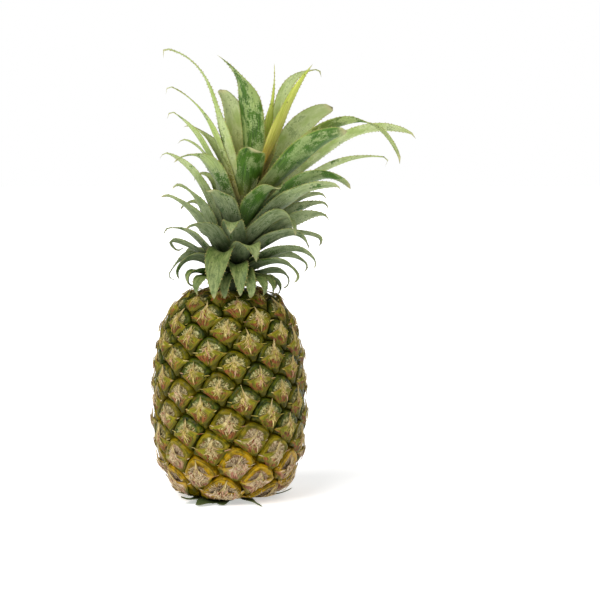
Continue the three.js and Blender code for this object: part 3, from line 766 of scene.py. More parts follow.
def strand(mesh, eye, path, half_widths, half_heights, tone):
    """One three-sided strand along path, with a flat side down, which ends in a point."""
    side = normalised(np.cross(normalised(np.gradient(path, axis=0)), eye.normal))[:-1]
    wide, high = side * half_widths[:, None], eye.normal * half_heights[:, None]
    rings = np.stack([path[:-1] - wide, path[:-1] + wide, path[:-1] + high], axis=1)
    count = len(rings)
    mesh.add(
        np.vstack([rings.reshape(-1, 3), path[-1:]]),
        loft_faces(count, 3),
        along=np.append(np.repeat(np.arange(count) / count, 3), 1.0),
        seed=tone,
        ripe=eye.ripe,
    )


def bent_line(x, y, length, angle, bend, share):
    """Local places along a line from x and y, which turns by the bend on its way."""
    heading = angle + bend * share
    return x + length * share * np.cos(heading), y + length * share * np.sin(heading)


def pad_hairs(mesh, eye):
    """Pale scaly flecks that cover the pad and the foot of the bract's tip, lying every way but
    mostly outwards."""
    rng = eye.rng
    share = HAIR_SHARES
    for _ in range(PAD_HAIRS):
        around = drawn_angle(rng, *HAIR_AZIMUTHS)
        reach = HAIR_REACH * rng.uniform(0.03, 1) ** 0.7
        heading = around + math.radians(rng.normal(0, HAIR_SPREAD))
        length = rng.uniform(*HAIR_LENGTH)
        bend = drawn_angle(rng, -BEND, BEND)
        start_x = 1.1 * reach * math.cos(around)
        start_y = 0.04 + 0.85 * reach * math.sin(around)
        x, y = bent_line(start_x, start_y, length, heading, bend, share)
        lift = 0.1 + rng.uniform(*HAIR_LIFT) * share + 1.2 * smooth(0.3, 0.02, reach)
        tone, width = rng.random(), rng.uniform(*HAIR_WIDTH)
        if y.min() > WING_Y + 0.04:
            path = eye.place(x, y, eye.relief(x, y) + lift)
            strand(mesh, eye, path, width * np.array([0.7, 1]), np.full(2, HAIR_HEIGHT), tone)


def straw_fibres(mesh, eye, lean):
    """Frayed straw that hangs from the bract's tip over its middle."""
    rng = eye.rng
    share = FIBRE_SHARES
    spread = 0.1 + 0.3 * eye.ripe
    for _ in range(STRAW_FIBRES + int(RIPE_FIBRES * eye.ripe)):
        start_x = lean * 0.6 + rng.uniform(-spread, spread)
        start_y = rng.uniform(-0.16, 0.26)
        angle = math.radians(-90 + rng.uniform(-STRAW_SPREAD, STRAW_SPREAD))
        length = rng.uniform(*STRAW_LENGTH)
        x, y = bent_line(start_x, start_y, length, angle, drawn_angle(rng, -BEND, BEND), share)
        lift = 0.7 + 0.8 * (1 - share) + rng.uniform(*STRAW_LIFT) * share
        path = eye.place(x, y, eye.bract_ground(x, y) + lift)
        taper = 1 - STRAW_TAPER * np.arange(3) / 3
        width = rng.uniform(*STRAW_WIDTH)
        strand(mesh, eye, path, width * taper, STRAW_HEIGHT * taper, rng.random())


def tip_fibres(mesh, eye, lean):
    """Straw that stands up along the bract's tip."""
    rng = eye.rng
    share = FIBRE_SHARES
    taper = 1 - TIP_FIBRE_TAPER * np.arange(3) / 3
    for _ in range(TIP_FIBRES):
        start_y = rng.uniform(-0.1, 0.3)
        angle = math.radians(90 + rng.uniform(-TIP_FIBRE_SPREAD, TIP_FIBRE_SPREAD))
        length = rng.uniform(*TIP_FIBRE_LENGTH)
        start_x = lean * (0.3 + start_y) + rng.uniform(-0.07, 0.07)
        x, y = bent_line(start_x, start_y, length, angle, 0, share)
        upper = np.clip((y - WING_Y) / (BRACT_TIP_Y - WING_Y), 0, 1)
        height = eye.bract_ground(x, y) * (1 - 0.5 * upper)
        height = height + (2.6 + rng.uniform(-0.3, 0.8)) * upper + 0.5
        path = eye.place(x, y, height)
        width = rng.uniform(*TIP_FIBRE_WIDTH)
        tone = 0.8 * rng.random()
        strand(mesh, eye, path, width * taper, TIP_FIBRE_HEIGHT * taper, tone)


def bract_spikes(mesh, eye):
    """Dry points at the bract's two corners, and a pin that hangs down its middle."""
    rng = eye.rng
    share = np.linspace(0, 1, 5)
    for sign in (-1, 1):
        x = sign * (SPIKE_START + rng.uniform(*SPIKE_LENGTH) * share)
        y = WING_Y + 0.1 + 0.08 * share + rng.uniform(-0.04, 0.06)
        ground = eye.bract_ground(x, y, SPIKE_LEAST_INSET)
        path = eye.place(x, y, ground + 0.1 + rng.uniform(*SPIKE_LIFT) * share**1.5)
        taper = (1 - share[:-1]) ** 0.7
        strand(mesh, eye, path, 0.55 * taper, 0.4 * taper, rng.random())
    start = rng.uniform(-PIN_SWAY, PIN_SWAY)
    x = start + rng.uniform(-PIN_SWAY, PIN_SWAY) * share
    y = WING_Y - 0.06 - rng.uniform(*PIN_LENGTH) * share
    path = eye.place(x, y, eye.relief(x, y) + 0.9 + 0.8 * np.sin(math.pi * share))
    taper = (1 - share[:-1]) ** 0.6
    strand(mesh, eye, path, 0.75 * taper, 0.5 * taper, rng.random())


# ---- Leaves ----


def stem_shift(z):
    """How far the leaning stem's axis stands to the right at a height."""
    return STEM_LEAN * max(0.0, z - LEAN_START_Z)


def stem_radius(z):
    rise = min(max((z - LEAN_START_Z) / (STEM_TOP_Z - LEAN_START_Z), 0), 1)
    return STEM_FOOT_RADIUS + (STEM_TOP_RADIUS - STEM_FOOT_RADIUS) * rise


def sin_cos(degrees):
    angle = math.radians(degrees)
    return np.array([math.sin(angle), math.cos(angle)])


def leaf_path(leaf, root_radius, stations):
    """Points and tangents at shares of the length of the blade's middle, and that length."""
    azimuth, root_z, tip_out, tip_z, root_angle, tip_angle = leaf[:6]
    root, tip = np.array([root_radius, root_z]), np.array([tip_out, tip_z])
    first, last = sin_cos(root_angle), sin_cos(tip_angle)
    span, both = tip - root, first + last
    along, square, excess = span @ both, span @ span, both @ both - 1
    side = square / (along + math.sqrt(max(0, along**2 - excess * square)))
    sin, cos = sin_cos(azimuth)
    axis = np.array([stem_shift(root_z), 0, 0])
    corners = [root, root + side * first, tip - side * last, tip]
    a, b, c, d = [axis + np.array([sin * out, -cos * out, z]) for out, z in corners]
    w = np.linspace(0, 1, PATH_STEPS)[:, None]
    curve = a * (1 - w) ** 3 + 3 * b * w * (1 - w) ** 2 + 3 * c * w**2 * (1 - w) + d * w**3
    length = np.concatenate([[0], np.cumsum(np.linalg.norm(np.diff(curve, axis=0), axis=1))])
    wanted = stations * length[-1]
    slope = np.gradient(curve, axis=0)
    points, tangents = read_rows(wanted, length, curve), read_rows(wanted, length, slope)
    return points, normalised(tangents), length[-1]


def blade_share(u, taper):
    """The blade's width along its length, as a share of the full width."""
    plain = (0.86 + 0.4 * u) * np.clip(1 - u**2.3, 0, 1) ** 0.95
    if taper < 0:
        first, last = DRAWN_OUT_FROM
        start = first - (first - last) * abs(taper)
        loss = min(MOST_LOST, DRAWN_OUT_LOSS * abs(taper))
        return plain * (1 - loss * smooth(start, start + DRAWN_OUT_OVER, u))
    blunt = (0.9 + 0.25 * u) * np.clip(1 - u**7, 0, 1) ** 0.55
    return plain + taper * (blunt - plain)


def clear_of_fruit(points):
    """Points moved out of the fruit's top, along its outline's own outward direction."""
    radius = np.hypot(points[:, 0], points[:, 1])
    rows = np.column_stack([OUTLINE["radius"], OUTLINE["height"]])[::4]
    rise = np.column_stack([OUTLINE["rise_out"], OUTLINE["rise_up"]])[::4]
    gap = np.column_stack([radius, points[:, 2]])[:, None] - rows[None]
    nearest = np.argmin(np.sum(gap**2, axis=2), axis=1)
    outward = np.column_stack([rise[nearest, 1], -rise[nearest, 0]])
    depth = np.sum(gap[np.arange(len(points)), nearest] * outward, axis=1)
    push = np.maximum(0, FRUIT_CLEARANCE - depth) * (points[:, 2] < STEM_FOOT_Z + CLEARED_HEIGHT)
    push = push * smooth(STEM_FOOT_RADIUS, STEM_FOOT_RADIUS + CLEARANCE_EASE, radius)
    around = points[:, :2] / np.maximum(radius, 1e-6)[:, None]
    moved = points.copy()
    moved[:, :2] += around * (outward[:, 0] * push)[:, None]
    moved[:, 2] += outward[:, 1] * push
    return moved


class Blade:
    """A channelled blade from a row of a leaf table, with two faces, closed edges, a fine tip
    and margin spines. u runs from root to tip, and v from one margin to the other."""

    def __init__(self, leaf, number, root_radius, channels):
        azimuth, self.width, turn, self.taper, rubbed, light, golden = (leaf[0], *leaf[6:])
        self.rng = np.random.default_rng([SEED, LEAF_SEED + number])
        self.u = u = np.linspace(0, 1, LEAF_STATIONS + 1) ** STATION_POWER
        self.v = v = np.linspace(-1, 1, 2 * LEAF_LANES + 1)
        self.middle, self.tangent, self.length = leaf_path(leaf, root_radius, u)
        self.turnover = TURNOVERS.get(azimuth, NO_TURNOVER)
        folded = np.exp(-(((u - self.turnover) / TURNOVER_LENGTH) ** 2))
        share = blade_share(u, self.taper) * (1 - TURNOVER_NARROWING * folded)
        sin, cos = sin_cos(azimuth)
        self.level = np.array([cos, sin, 0])
        roll = -np.radians(turn) * np.minimum(1, 2 * u) * np.sign(azimuth)
        sway = drawn_angle(self.rng, -ROLL_SPREAD, ROLL_SPREAD)
        roll = (roll + sway * np.sin(3.2 * u))[:, None]
        self.side = self.level * np.cos(roll) + np.cross(self.tangent, self.level) * np.sin(roll)
        self.keel = np.cross(self.side, self.tangent)
        self.half = self.width * share / 2 * (1 + ROOT_WIDENING * smooth(0.16, 0.0, u))
        channel = (channels[0] + (channels[1] - channels[0]) * u) * self.width * share
        waves = np.sin(2 * math.pi * (MARGIN_WAVES * u) + self.rng.uniform(0, 2 * math.pi))
        wave = WAVE_HEIGHT * self.width * waves * smooth(0.05, 0.4, u)
        self.bend = channel[:, None] * (0.5 - np.abs(v) ** 1.55) + wave[:, None] * (v * np.abs(v))
        self.looks = {"rubbed": rubbed, "light": light, "golden": golden}

    def rings(self):
        """The blade's outline at each station but the tip: its outer face, then its inner one."""
        thin = BLADE_THICKNESS / 2 * (1 - 0.5 * self.u)[:, None] * (1 - 0.78 * self.v**2)
        thick = np.maximum(thin, LEAST_HALF_THICKNESS)
        across = self.v * self.half[:, None]
        sheet = self.middle[:, None] + self.side[:, None] * across[..., None]
        outer = sheet + self.keel[:, None] * (self.bend + thick)[..., None]
        inner = sheet + self.keel[:, None] * (self.bend - thick)[..., None]
        return np.concatenate([outer, inner[:, ::-1]], axis=1)[:-1]

    def hooked(self, points, size):
        """The blade's last stretch bent further over, turning about the level line at its start."""
        angle = drawn_angle(self.rng, *HOOK_TURN) * max(0.0, 1 - self.taper)
        angle *= smooth(*HOOKED_WIDTHS, self.width)
        start = 1 - HOOK_LENGTH / self.length
        centre = read_rows([start], self.u, self.middle)[0]
        along = np.append(np.repeat(self.u[:-1], size), 1.0)
        turn = (angle * np.clip((along - start) / (1 - start), 0, 1))[:, None]
        arms = points - centre
        lengthwise = self.level * (arms @ self.level)[:, None]
        cos, sin = np.cos(turn), np.sin(turn)
        return centre + arms * cos + np.cross(self.level, arms) * sin + lengthwise * (1 - cos)

    def add_to(self, mesh, on_crown):
        """Adds the blade and its spines. On the crown it keeps clear of the fruit and hooks."""
        rings = self.rings()
        count, size = rings.shape[:2]
        points = np.vstack([rings.reshape(-1, 3), self.middle[-1:]])
        if on_crown:
            points = self.hooked(clear_of_fruit(points), size)
        self.looks = {"seed": self.rng.random(), **self.looks}
        share = np.append(np.repeat(self.u[:-1], size), 1)
        lanes = np.concatenate([self.v, self.v[::-1]])
        outer = np.append(np.tile(np.repeat([1, 0], len(self.v)), count), 1)
        mesh.add(
            points,
            loft_faces(count, size),
            share=share,
            lane=np.append(np.tile(lanes, count), 0),
            along=share * self.length,
            across=np.append(np.outer(self.half[:-1], lanes).ravel(), 0),
            outside=outer * (share <= self.turnover),
            **self.looks,
        )
        rim = points[:-1].reshape(count, size, 3)
        last = len(self.v) - 1
        self.add_spines(mesh, (rim[:, 0] + rim[:, -1]) / 2, -1)
        self.add_spines(mesh, (rim[:, last] + rim[:, last + 1]) / 2, 1)

    def add_spines(self, mesh, margin, sign):
        """Small forward-pointing spines along one margin."""
        count = int(SPINED_SHARE * self.length / SPINE_GAP)
        if count < 2:
            return
        places = np.linspace(SPINED_FROM, SPINED_TO, count)
        places = places + self.rng.uniform(-0.25, 0.25, count) * SPINED_SHARE / count
        lines = (margin, self.side[:-1] * sign, self.tangent[:-1], self.keel[:-1])
        base, out, forward, thick = [read_rows(places, self.u[:-1], line) for line in lines]
        long = SPINE_LENGTH * (1.1 - 0.5 * places) * self.rng.uniform(0.7, 1.2, count)
        tip = base + out * long[:, None] + forward * (SPINE_SLANT * long)[:, None]
        root = base - out * SPINE_ROOT
        foot, thick = forward * SPINE_FOOT, thick * SPINE_THICKNESS
        foots = [root - foot - thick, root + foot - thick, root + foot + thick, root - foot + thick]
        spine = loft_faces(1, 4)
        faces = [[first + v for v in face] for first in range(0, 5 * count, 5) for face in spine]
        mesh.add(
            np.stack([*foots, tip], axis=1).reshape(-1, 3),
            faces,
            share=np.repeat(places, 5),
            lane=1.3 * sign,
            along=np.repeat(places * self.length, 5),
            across=10.0 * sign,
            outside=0.5,
            **self.looks,
        )


def far_leaves():
    """Rows for the leaves at the back, placed by the leaf spiral between two rows' forms."""
    rows = []
    for i in range(FAR_LEAVES):
        rise = i / (FAR_LEAVES - 1)
        share = (i * GOLDEN_SHARE) % 1 - 0.5
        form = [foot + (top - foot) * rise for foot, top in zip(FAR_FOOT, FAR_TOP)]
        rows.append((FAR_MIDDLE_AZIMUTH + FAR_SPREAD * share, *form))
    return rows


def crown_piece(material):
    mesh = Mesh()
    profile = [(STEM_FOOT_RADIUS, STEM_FOOT_Z), (STEM_FOOT_RADIUS, LEAN_START_Z)]
    profile += [(stem_radius(z), z) for z in (*STEM_RINGS, STEM_TOP_Z)]
    turned(mesh, profile, STEM_SIDES, **STEM_VALUES)
    leaves = [*TOP_LEAVES, *UPPER_LEAVES, *MIDDLE_LEAVES, *FOOT_LEAVES, *far_leaves()]
    for number, leaf in enumerate(leaves):
        root_radius = max(stem_radius(leaf[1]) - ROOT_DEPTH, 0.5)
        Blade(leaf, number, root_radius, CROWN_CHANNEL).add_to(mesh, on_crown=True)
    mesh.piece("crown", material, "crown_leaves", "crown_leaves")


def heart_piece(material):
    mesh = Mesh()
    for number, leaf in enumerate(HEART_LEAVES, HEART_NUMBER):
        Blade(leaf, number, HEART_ROOT_RADIUS, HEART_CHANNEL).add_to(mesh, on_crown=False)
    mesh.piece("heart", material, "heart_leaves", "heart_leaves")


def stalk_pieces(material, cut):
    mesh = Mesh()
    for number, leaf in enumerate(BASAL_LEAVES, BASAL_NUMBER):
        Blade(leaf, number, BASAL_ROOT_RADIUS, BASAL_CHANNEL).add_to(mesh, on_crown=False)
    mesh.piece("basal_leaves", material, "stalk", "stalk")
    stub = Mesh()
    turned(stub, STALK_PROFILE, STALK_SIDES)
    stub.piece("cut_stalk", cut, "stalk", "stalk")


# ---- Materials ----


def srgb(colour):
    """A colour of three values from 0 to 255, in the linear form that shaders use."""
    linear = [c / 255 / 12.92 if c <= 10 else ((c / 255 + 0.055) / 1.055) ** 2.4 for c in colour]
    return (*linear, 1)


class Field:
    """A number or colour that varies over the surface, with arithmetic that adds nodes."""

    def __init__(self, nodes, socket):
        self.nodes = nodes
        self.socket = socket

    def __add__(self, other):
        return self.nodes.math("ADD", self, other)

    def __sub__(self, other):
        return self.nodes.math("SUBTRACT", self, other)

    def __rsub__(self, other):
        return self.nodes.math("SUBTRACT", other, self)

    def __mul__(self, other):
        return self.nodes.math("MULTIPLY", self, other)

    def __abs__(self):
        return self.nodes.math("ABSOLUTE", self)

    def band(self, start, end):
        """0 below start, 1 above end, smooth between; falls where start is above end."""
        falling = not isinstance(end, Field) and start > end
        low, high = (end, start) if falling else (start, end)
        limits = {"From Min": low, "From Max": high, "To Min": falling, "To Max": not falling}
        inputs = {"Value": self, **limits}
        return self.nodes.add("MapRange", "Result", inputs, interpolation_type="SMOOTHSTEP")

    def mixed(self, share, colour):
        """This colour, which gives way to another by a share from 0 to 1."""
        return self.nodes.mix(share, self, colour)

    def tones(self, start, end, dark, light):
        """The dark colour below start, the light one above end."""
        return self.nodes.mix(self.band(start, end), dark, light)


class Tree:
    """The nodes of a material or of the world, with short calls that add to them."""

    def __init__(self, owner):
        owner.use_nodes = True
        self.tree = owner.node_tree

    def feed(self, value, socket):
        if isinstance(value, Field):
            self.tree.links.new(value.socket, socket)
        else:
            socket.default_value = srgb(value) if isinstance(value, tuple) else value

    def add(self, kind, output, inputs, **settings):
        """One output of a new node."""
        node = self.tree.nodes.new("ShaderNode" + kind)
        for key, value in settings.items():
            setattr(node, key, value)
        for key, value in inputs.items():
            self.feed(value, node.inputs[key])
        return Field(self, node.outputs[output])

    def math(self, operation, *values):
        return self.add("Math", 0, dict(enumerate(values)), operation=operation)

    def mix(self, share, first, second):
        return self.add("Mix", 2, {0: share, 6: first, 7: second}, data_type="RGBA")


class Nodes(Tree):
    """One material's nodes, with the named values of its meshes as fields."""

    def __init__(self, name, roughness, specular, *attributes):
        self.material = bpy.data.materials.new(name)
        super().__init__(self.material)
        self.shader = self.tree.nodes["Principled BSDF"]
        self.set("Roughness", roughness)
        self.set("Specular IOR Level", specular)
        self.place = self.add("TexCoord", "Object", {})
        for attribute in attributes:
            setattr(self, attribute, self.add("Attribute", "Fac", {}, attribute_name=attribute))

    def set(self, name, value):
        """Feeds one of the shader's own sockets."""
        self.feed(value, self.shader.inputs[name])

    def vector(self, x, y, z):
        return self.add("CombineXYZ", 0, {0: x, 1: y, 2: z})

    def noise(self, scale, detail, roughness=0.55, vector=None):
        inputs = {"Vector": vector or self.place, "Scale": scale}
        inputs |= {"Detail": detail, "Roughness": roughness}
        return self.add("TexNoise", "Fac", inputs)

    def bump(self, height, distance):
        inputs = {"Distance": distance * MM, "Strength": 1, "Height": height}
        self.set("Normal", self.add("Bump", "Normal", inputs))

    def finish(self, colour):
        self.set("Base Color", colour)
        return self.material


def arch_tone(n, mottle, upper, ripened, gold):
    """The smooth arch round each pad, from green to gold, with a painted highlight on its crest
    and painted shade in a dark crease.
    """
    green = mottle.tones(*MOTTLED, (22, 38, 0), (70, 80, 0))
    olive = mottle.tones(*MOTTLED, (82, 78, 0), (134, 118, 0))
    arch = green.mixed(ripened.band(0.02, 0.36), olive)
    arch = arch.mixed(ripened.band(0.42, 0.84), gold)
    # Painted highlight: a pale line along the arch's crest, stronger on ripe eyes.
    crest = n.inset.band(*CREST_START) * n.inset.band(*CREST_END) * upper * mottle.band(0.3, 0.5)
    arch = arch.mixed(crest * (n.ripe * 0.35 + 0.1), (170, 156, 50))
    # Painted shade: a dark line in a crease just outside the crest.
    crease = n.inset.band(*CREASE_START) * n.inset.band(*CREASE_END) * upper
    arch = arch.mixed(crease * (n.ripe * 0.5 + 0.1), (58, 46, 0))
    browned = n.noise(150, 4).band(0.56, 0.7)
    return arch.mixed(browned * 0.35, (116, 84, 24))


def pad_tone(n, past_arch, turning):
    """The scaly pad: dull green, then woolly and pinkish, with fuzz that runs out from the foot
    of the bract's tip, and rusty spots."""
    grain = n.noise(1300, 3)
    young = grain.tones(0.36, 0.64, (50, 68, 20), (104, 118, 62))
    woolly = grain.tones(*GRAINED, (124, 120, 62), (184, 176, 116))
    pinkish = grain.tones(*GRAINED, (146, 114, 80), (206, 180, 148))
    pad = young.mixed(past_arch.band(0.4, turning * -2.4 + 3.4), woolly.mixed(turning, pinkish))
    rise = n.upward + 0.12
    around = n.math("ARCTAN2", rise, n.across)
    reach = n.math("SQRT", rise * rise + n.across * n.across)
    fuzz = n.noise(1, 4, 0.7, n.vector(around * 5, reach * 3, n.seed * 50))
    fuzzy = fuzz.tones(*FUZZED, (78, 82, 30), (212, 206, 152))
    fuzzy = fuzzy.mixed(turning, fuzz.tones(*FUZZED, (152, 116, 86), (222, 198, 168)))
    near_tip = (fuzz * -0.5 + reach - turning * 0.5).band(0.52, 0.24)
    pad = pad.mixed(near_tip * 0.9, fuzzy)
    rust = n.mix(turning, (100, 64, 26), (156, 108, 78))
    return pad.mixed(n.noise(420, 3).band(0.56, 0.66), rust), grain


def rind_material():
    """An arch round a woolly pad in each eye's upper half, plain skin below darkened as painted
    shade, and grooves darkened as painted shade.
    """
    n = Nodes("rind_skin", 0.3, 0.25, "inset", "across", "upward", "ripe", "seed")
    mottle = n.noise(230, 4)
    upper = n.upward.band(WING_Y - 0.1, WING_Y + 0.08)
    ripened = (n.ripe + (mottle - 0.5) * 0.5) * (upper * 0.4 + 0.6)
    turning = n.ripe.band(0.15, 0.5)
    gold = mottle.tones(*MOTTLED, (122, 96, 0), (192, 148, 0))
    past_arch = n.inset - (n.ripe * RIPE_ARCH_WIDENING + ARCH_WIDTH)
    on_pad = past_arch.band(-0.4, 0.7)
    pad, grain = pad_tone(n, past_arch, turning)
    upper_half = arch_tone(n, mottle, upper, ripened, gold).mixed(on_pad, pad)
    # Painted shade: the lower half of each eye, under the arch and the bract, is darker.
    shaded = mottle.tones(*MOTTLED, (42, 44, 0), (88, 80, 0))
    shaded = shaded.mixed(ripened.band(0.3, 0.7) * 0.55, gold)
    shaded = shaded.mixed(n.noise(330, 4).band(0.45, 0.62), (76, 70, 0))
    colour = shaded.mixed(upper, upper_half)
    # Painted shade: the grooves between the eyes are darkened, gold-brown on ripe eyes.
    groove = (mottle * 1.2 + n.inset).band(1.9, 0.5)
    uneven = n.noise(55, 2).band(0.35, 0.6) * 0.4 + 0.5
    colour = colour.mixed(groove * uneven, n.mix(turning, (28, 30, 0), (70, 50, 0)))
    colour = colour.mixed(n.seed * 0.36, (52, 50, 0))
    matt = n.math("MAXIMUM", on_pad * upper, groove)
    n.set("Specular IOR Level", matt * -0.11 + 0.14)
    n.set("Roughness", matt * 0.5 + 0.3)
    n.bump(mottle * 0.4 + grain, 0.25)
    return n.finish(colour)


def bract_material():
    """A fleshy green foot with a rust-red blotch, straw down the middle, and a pale dry tip."""
    n = Nodes("bract_dry", 0.62, 0.25, "along", "lane", "ripe", "seed")
    side = abs(n.lane)
    shifted = n.seed * 37.0
    streaks = n.noise(1, 4, 0.6, n.vector(n.lane * 11, n.along * 3.5, shifted))
    patches = n.noise(1, 3, 0.5, n.vector(n.lane * 2.6, n.along * 7, shifted))
    turning = n.ripe.band(0.2, 0.6)
    fleshy = streaks.tones(0.35, 0.65, (84, 88, 0), (144, 136, 4))
    fleshy = fleshy.mixed(n.ripe.band(0.45, 0.85) * 0.6, (204, 158, 40))
    foot = streaks.tones(0.36, 0.6, (72, 78, 0), (118, 106, 2))
    body = foot.mixed((streaks * 0.16 + n.along).band(0.4, 0.58), fleshy)
    straw = streaks.tones(*STREAKED, (112, 96, 30), (200, 184, 110))
    straw = straw.mixed(turning, streaks.tones(*STREAKED, (142, 106, 80), (216, 194, 166)))
    narrow = (turning * -0.36 + side).band(0.5, 0.2)
    early = (turning * 0.2 + n.along).band(0.3, 0.46)
    body = body.mixed(narrow * early * (patches.band(0.4, 0.56) * 0.75 + 0.25), straw)
    rusty = patches.band(0.45, 0.52) * n.along.band(0.49, 0.44)
    rusty = rusty * n.along.band(0.1, 0.22) * n.lane.band(0.9, 0.3)
    rust = streaks.tones(0.42, 0.6, (86, 24, 6), (150, 76, 44))
    body = body.mixed(rusty * 0.8, rust)
    dry_tip = streaks.tones(0.3, 0.7, (186, 166, 98), (232, 214, 158))
    body = body.mixed((side * -0.05 + n.along).band(0.53, 0.62), dry_tip)
    margin = side.band(0.8, 0.96) * n.along.band(0.36, 0.48)
    body = body.mixed(margin * 0.5, (160, 118, 52))
    n.bump(streaks, 0.5)
    return n.finish(body)


def hair_material():
    n = Nodes("pad_hair", 0.8, 0.15, "seed", "ripe")
    tone = n.seed.tones(0.1, 0.7, (156, 148, 76), (222, 210, 148))
    tone = tone.mixed(n.seed.band(0.92, 0.95), (140, 88, 50))
    tone = tone.mixed(n.ripe.band(0.15, 0.5) * 0.7, (210, 184, 158))
    return n.finish(tone.mixed(n.noise(900, 2).band(0.5, 0.75), (140, 134, 84)))


def straw_material():
    n = Nodes("straw_fibre", 0.7, 0.2, "seed", "ripe", "along")
    tone = n.seed.tones(0.25, 0.75, (166, 150, 62), (224, 204, 130))
    tone = tone.mixed(n.ripe.band(0.12, 0.42) * 0.75, (208, 186, 158))
    tone = tone.mixed(n.seed.band(0.72, 0.76), (196, 150, 124))
    tone = tone.mixed(n.seed.band(0.88, 0.92), (128, 62, 34))
    tone = tone.mixed(n.along.band(0.5, 1.0), (206, 178, 116))
    return n.finish(tone.mixed(n.noise(700, 2).band(0.5, 0.75), (146, 130, 62)))


class LeafNodes(Nodes):
    """A leaf material's nodes, with the streaks and heights that its tones follow."""

    def __init__(self, name):
        super().__init__(name, 0.5, 0.35, *STEM_VALUES)
        self.veins = self.grained(2.6, 0.05, 2, 0.5)
        self.clouds = self.grained(0.16, 0.07, 4, 0.6)
        self.scuffs = self.grained(1.1, 1.3, 4, 0.7)
        self.height = self.add("SeparateXYZ", "Z", {0: self.place})
        # Heights high in the crown: there the bloom gets painted light, and the painted shade at
        # the blades' bases fades.
        self.high = self.height.band(*HIGH_CROWN)

    def stretched(self, across_scale, along_scale):
        """Places on the blade, scaled across and along it."""
        return self.vector(self.across * across_scale, self.along * along_scale, self.seed * 61.0)

    def grained(self, across_scale, along_scale, detail, roughness):
        return self.noise(1, detail, roughness, self.stretched(across_scale, along_scale))


def bloom_tone(n):
    """The pale bloom on a blade's outer face, brighter and yellower high in the crown as painted
    light, and cool at its foot.
    """
    bloom = n.veins.tones(*VEINED, (84, 106, 56), (140, 158, 104))
    # Painted light: brighter, yellower bloom high in the crown.
    bloom = bloom.mixed(n.high, n.veins.tones(*VEINED, (142, 168, 74), (196, 214, 132)))
    bloom = bloom.mixed(n.clouds.band(0.4, 0.65) * 0.7, (168, 182, 138))
    bloom = bloom.mixed(n.scuffs.band(0.5, 0.72) * 0.4, (92, 122, 50))
    cool = n.veins.tones(*VEINED, (108, 122, 86), (164, 174, 138))
    bloom = bloom.mixed(n.height.band(*COOL_CROWN) * 0.6, cool)
    return bloom.mixed(n.rubbed.band(0.55, 0.95) * 0.6, (108, 134, 80))


def blade_tone(n, rub, vivid):
    """Both faces of a blade, with the green that shows where the bloom is rubbed off."""
    inside = n.veins.tones(*VEINED, (112, 128, 60), (164, 178, 104))
    colour = inside.mixed(n.outside, bloom_tone(n))
    pale = n.clouds.tones(0.35, 0.6, (170, 192, 108), (210, 222, 160))
    pale = pale.mixed(n.scuffs.band(0.5, 0.7) * 0.4, (124, 162, 54))
    colour = colour.mixed(n.light * 0.85, pale)
    colour = colour.mixed(n.share.band(0.55, 0.95) * 0.45, (172, 182, 128))
    fresh = n.veins.tones(*VEINED, (30, 72, 0), (78, 124, 12))
    fresh = fresh.mixed(n.scuffs.band(0.6, 0.7) * 0.5, (128, 150, 96))
    colour = colour.mixed(rub * (n.outside * 0.5 + 0.45), fresh)
    if vivid:
        bright = n.veins.tones(*VEINED, (164, 186, 34), (224, 226, 96))
        colour = colour.mixed(vivid, bright)
    return colour


def with_edges(n, colour):
    """A blade's golden base or painted shade at its base, and its margins, spines and dry tip."""
    reach = (1 - n.share) * 1.7 + n.golden * 0.9
    gold = n.veins.tones(*VEINED, (178, 172, 54), (212, 202, 104))
    gold = gold.mixed(n.share.band(0.4, 0.14), (236, 176, 66))
    colour = colour.mixed(n.golden * reach.band(0.9, 1.8), gold)
    side = abs(n.lane)
    colour = colour.mixed(side.band(0.86, 1.0) * 0.42, (170, 182, 84))
    colour = colour.mixed(side.band(1.1, 1.3), (176, 164, 96))
    # Painted shade at each blade's base, among the other leaves; less of it high in the crown, on
    # golden bases and on light leaves.
    foot = n.share.band(0.66, 0.0) * (n.high * -0.82 + 0.95)
    foot = foot * (1 - n.golden) * (n.light * -0.85 + 1)
    colour = colour.mixed(foot, (36, 44, 0))
    dry = (n.scuffs * 0.06 + n.share).band(0.95, 1.02)
    return colour.mixed(dry * 0.8, (196, 188, 136))


def with_stains(n, colour, painted_shade):
    """Dark specks, painted shade over leaves under the fruit, painted shade in patches low in
    the crown, and the smears there.
    """
    specks = n.add("TexVoronoi", "Distance", {"Vector": n.stretched(0.2, 0.12), "Scale": 1})
    colour = colour.mixed(specks.band(0.1, 0.06) * 0.8, (44, 44, 20))
    # Painted shade over the basal leaves, which lie under the fruit.
    if painted_shade:
        colour = colour.mixed(n.clouds * 0.3 + painted_shade, (36, 58, 20))
    # Painted shade: darker patches low in the crown, under the leaves above.
    low = n.height.band(*LOW_CROWN)
    colour = colour.mixed(low * (n.scuffs * 0.44 + 0.02), (38, 52, 28))
    smears = n.grained(0.5, 0.16, 4, 0.65).band(0.5, 0.58)
    return colour.mixed(smears * n.height.band(*SMEARED_CROWN) * 0.45, (34, 66, 16))


def leaf_material(name, painted_shade=0.0, vivid=0.0):
    """A blade under bloom that is partly rubbed off; painted shade under the fruit darkens it,
    vivid yellows it.
    """
    n = LeafNodes(name)
    threshold = n.rubbed * -0.13 + 0.585
    rub = (n.clouds * 0.6 + n.scuffs * 0.4 - threshold).band(0.0, 0.05)
    colour = with_edges(n, blade_tone(n, rub, vivid))
    n.set("Roughness", rub * -0.16 + 0.56)
    n.bump(n.veins + n.scuffs * 0.4, 0.35)
    return n.finish(with_stains(n, colour, painted_shade))


def cut_material():
    n = Nodes("stalk_cut", 0.75, 0.2)
    fibres = n.noise(900, 3)
    colour = fibres.tones(0.4, 0.6, (150, 132, 84), (200, 186, 134))
    n.bump(fibres, 0.4)
    return n.finish(colour.mixed(n.noise(140, 4).band(0.5, 0.7), (112, 96, 52)))


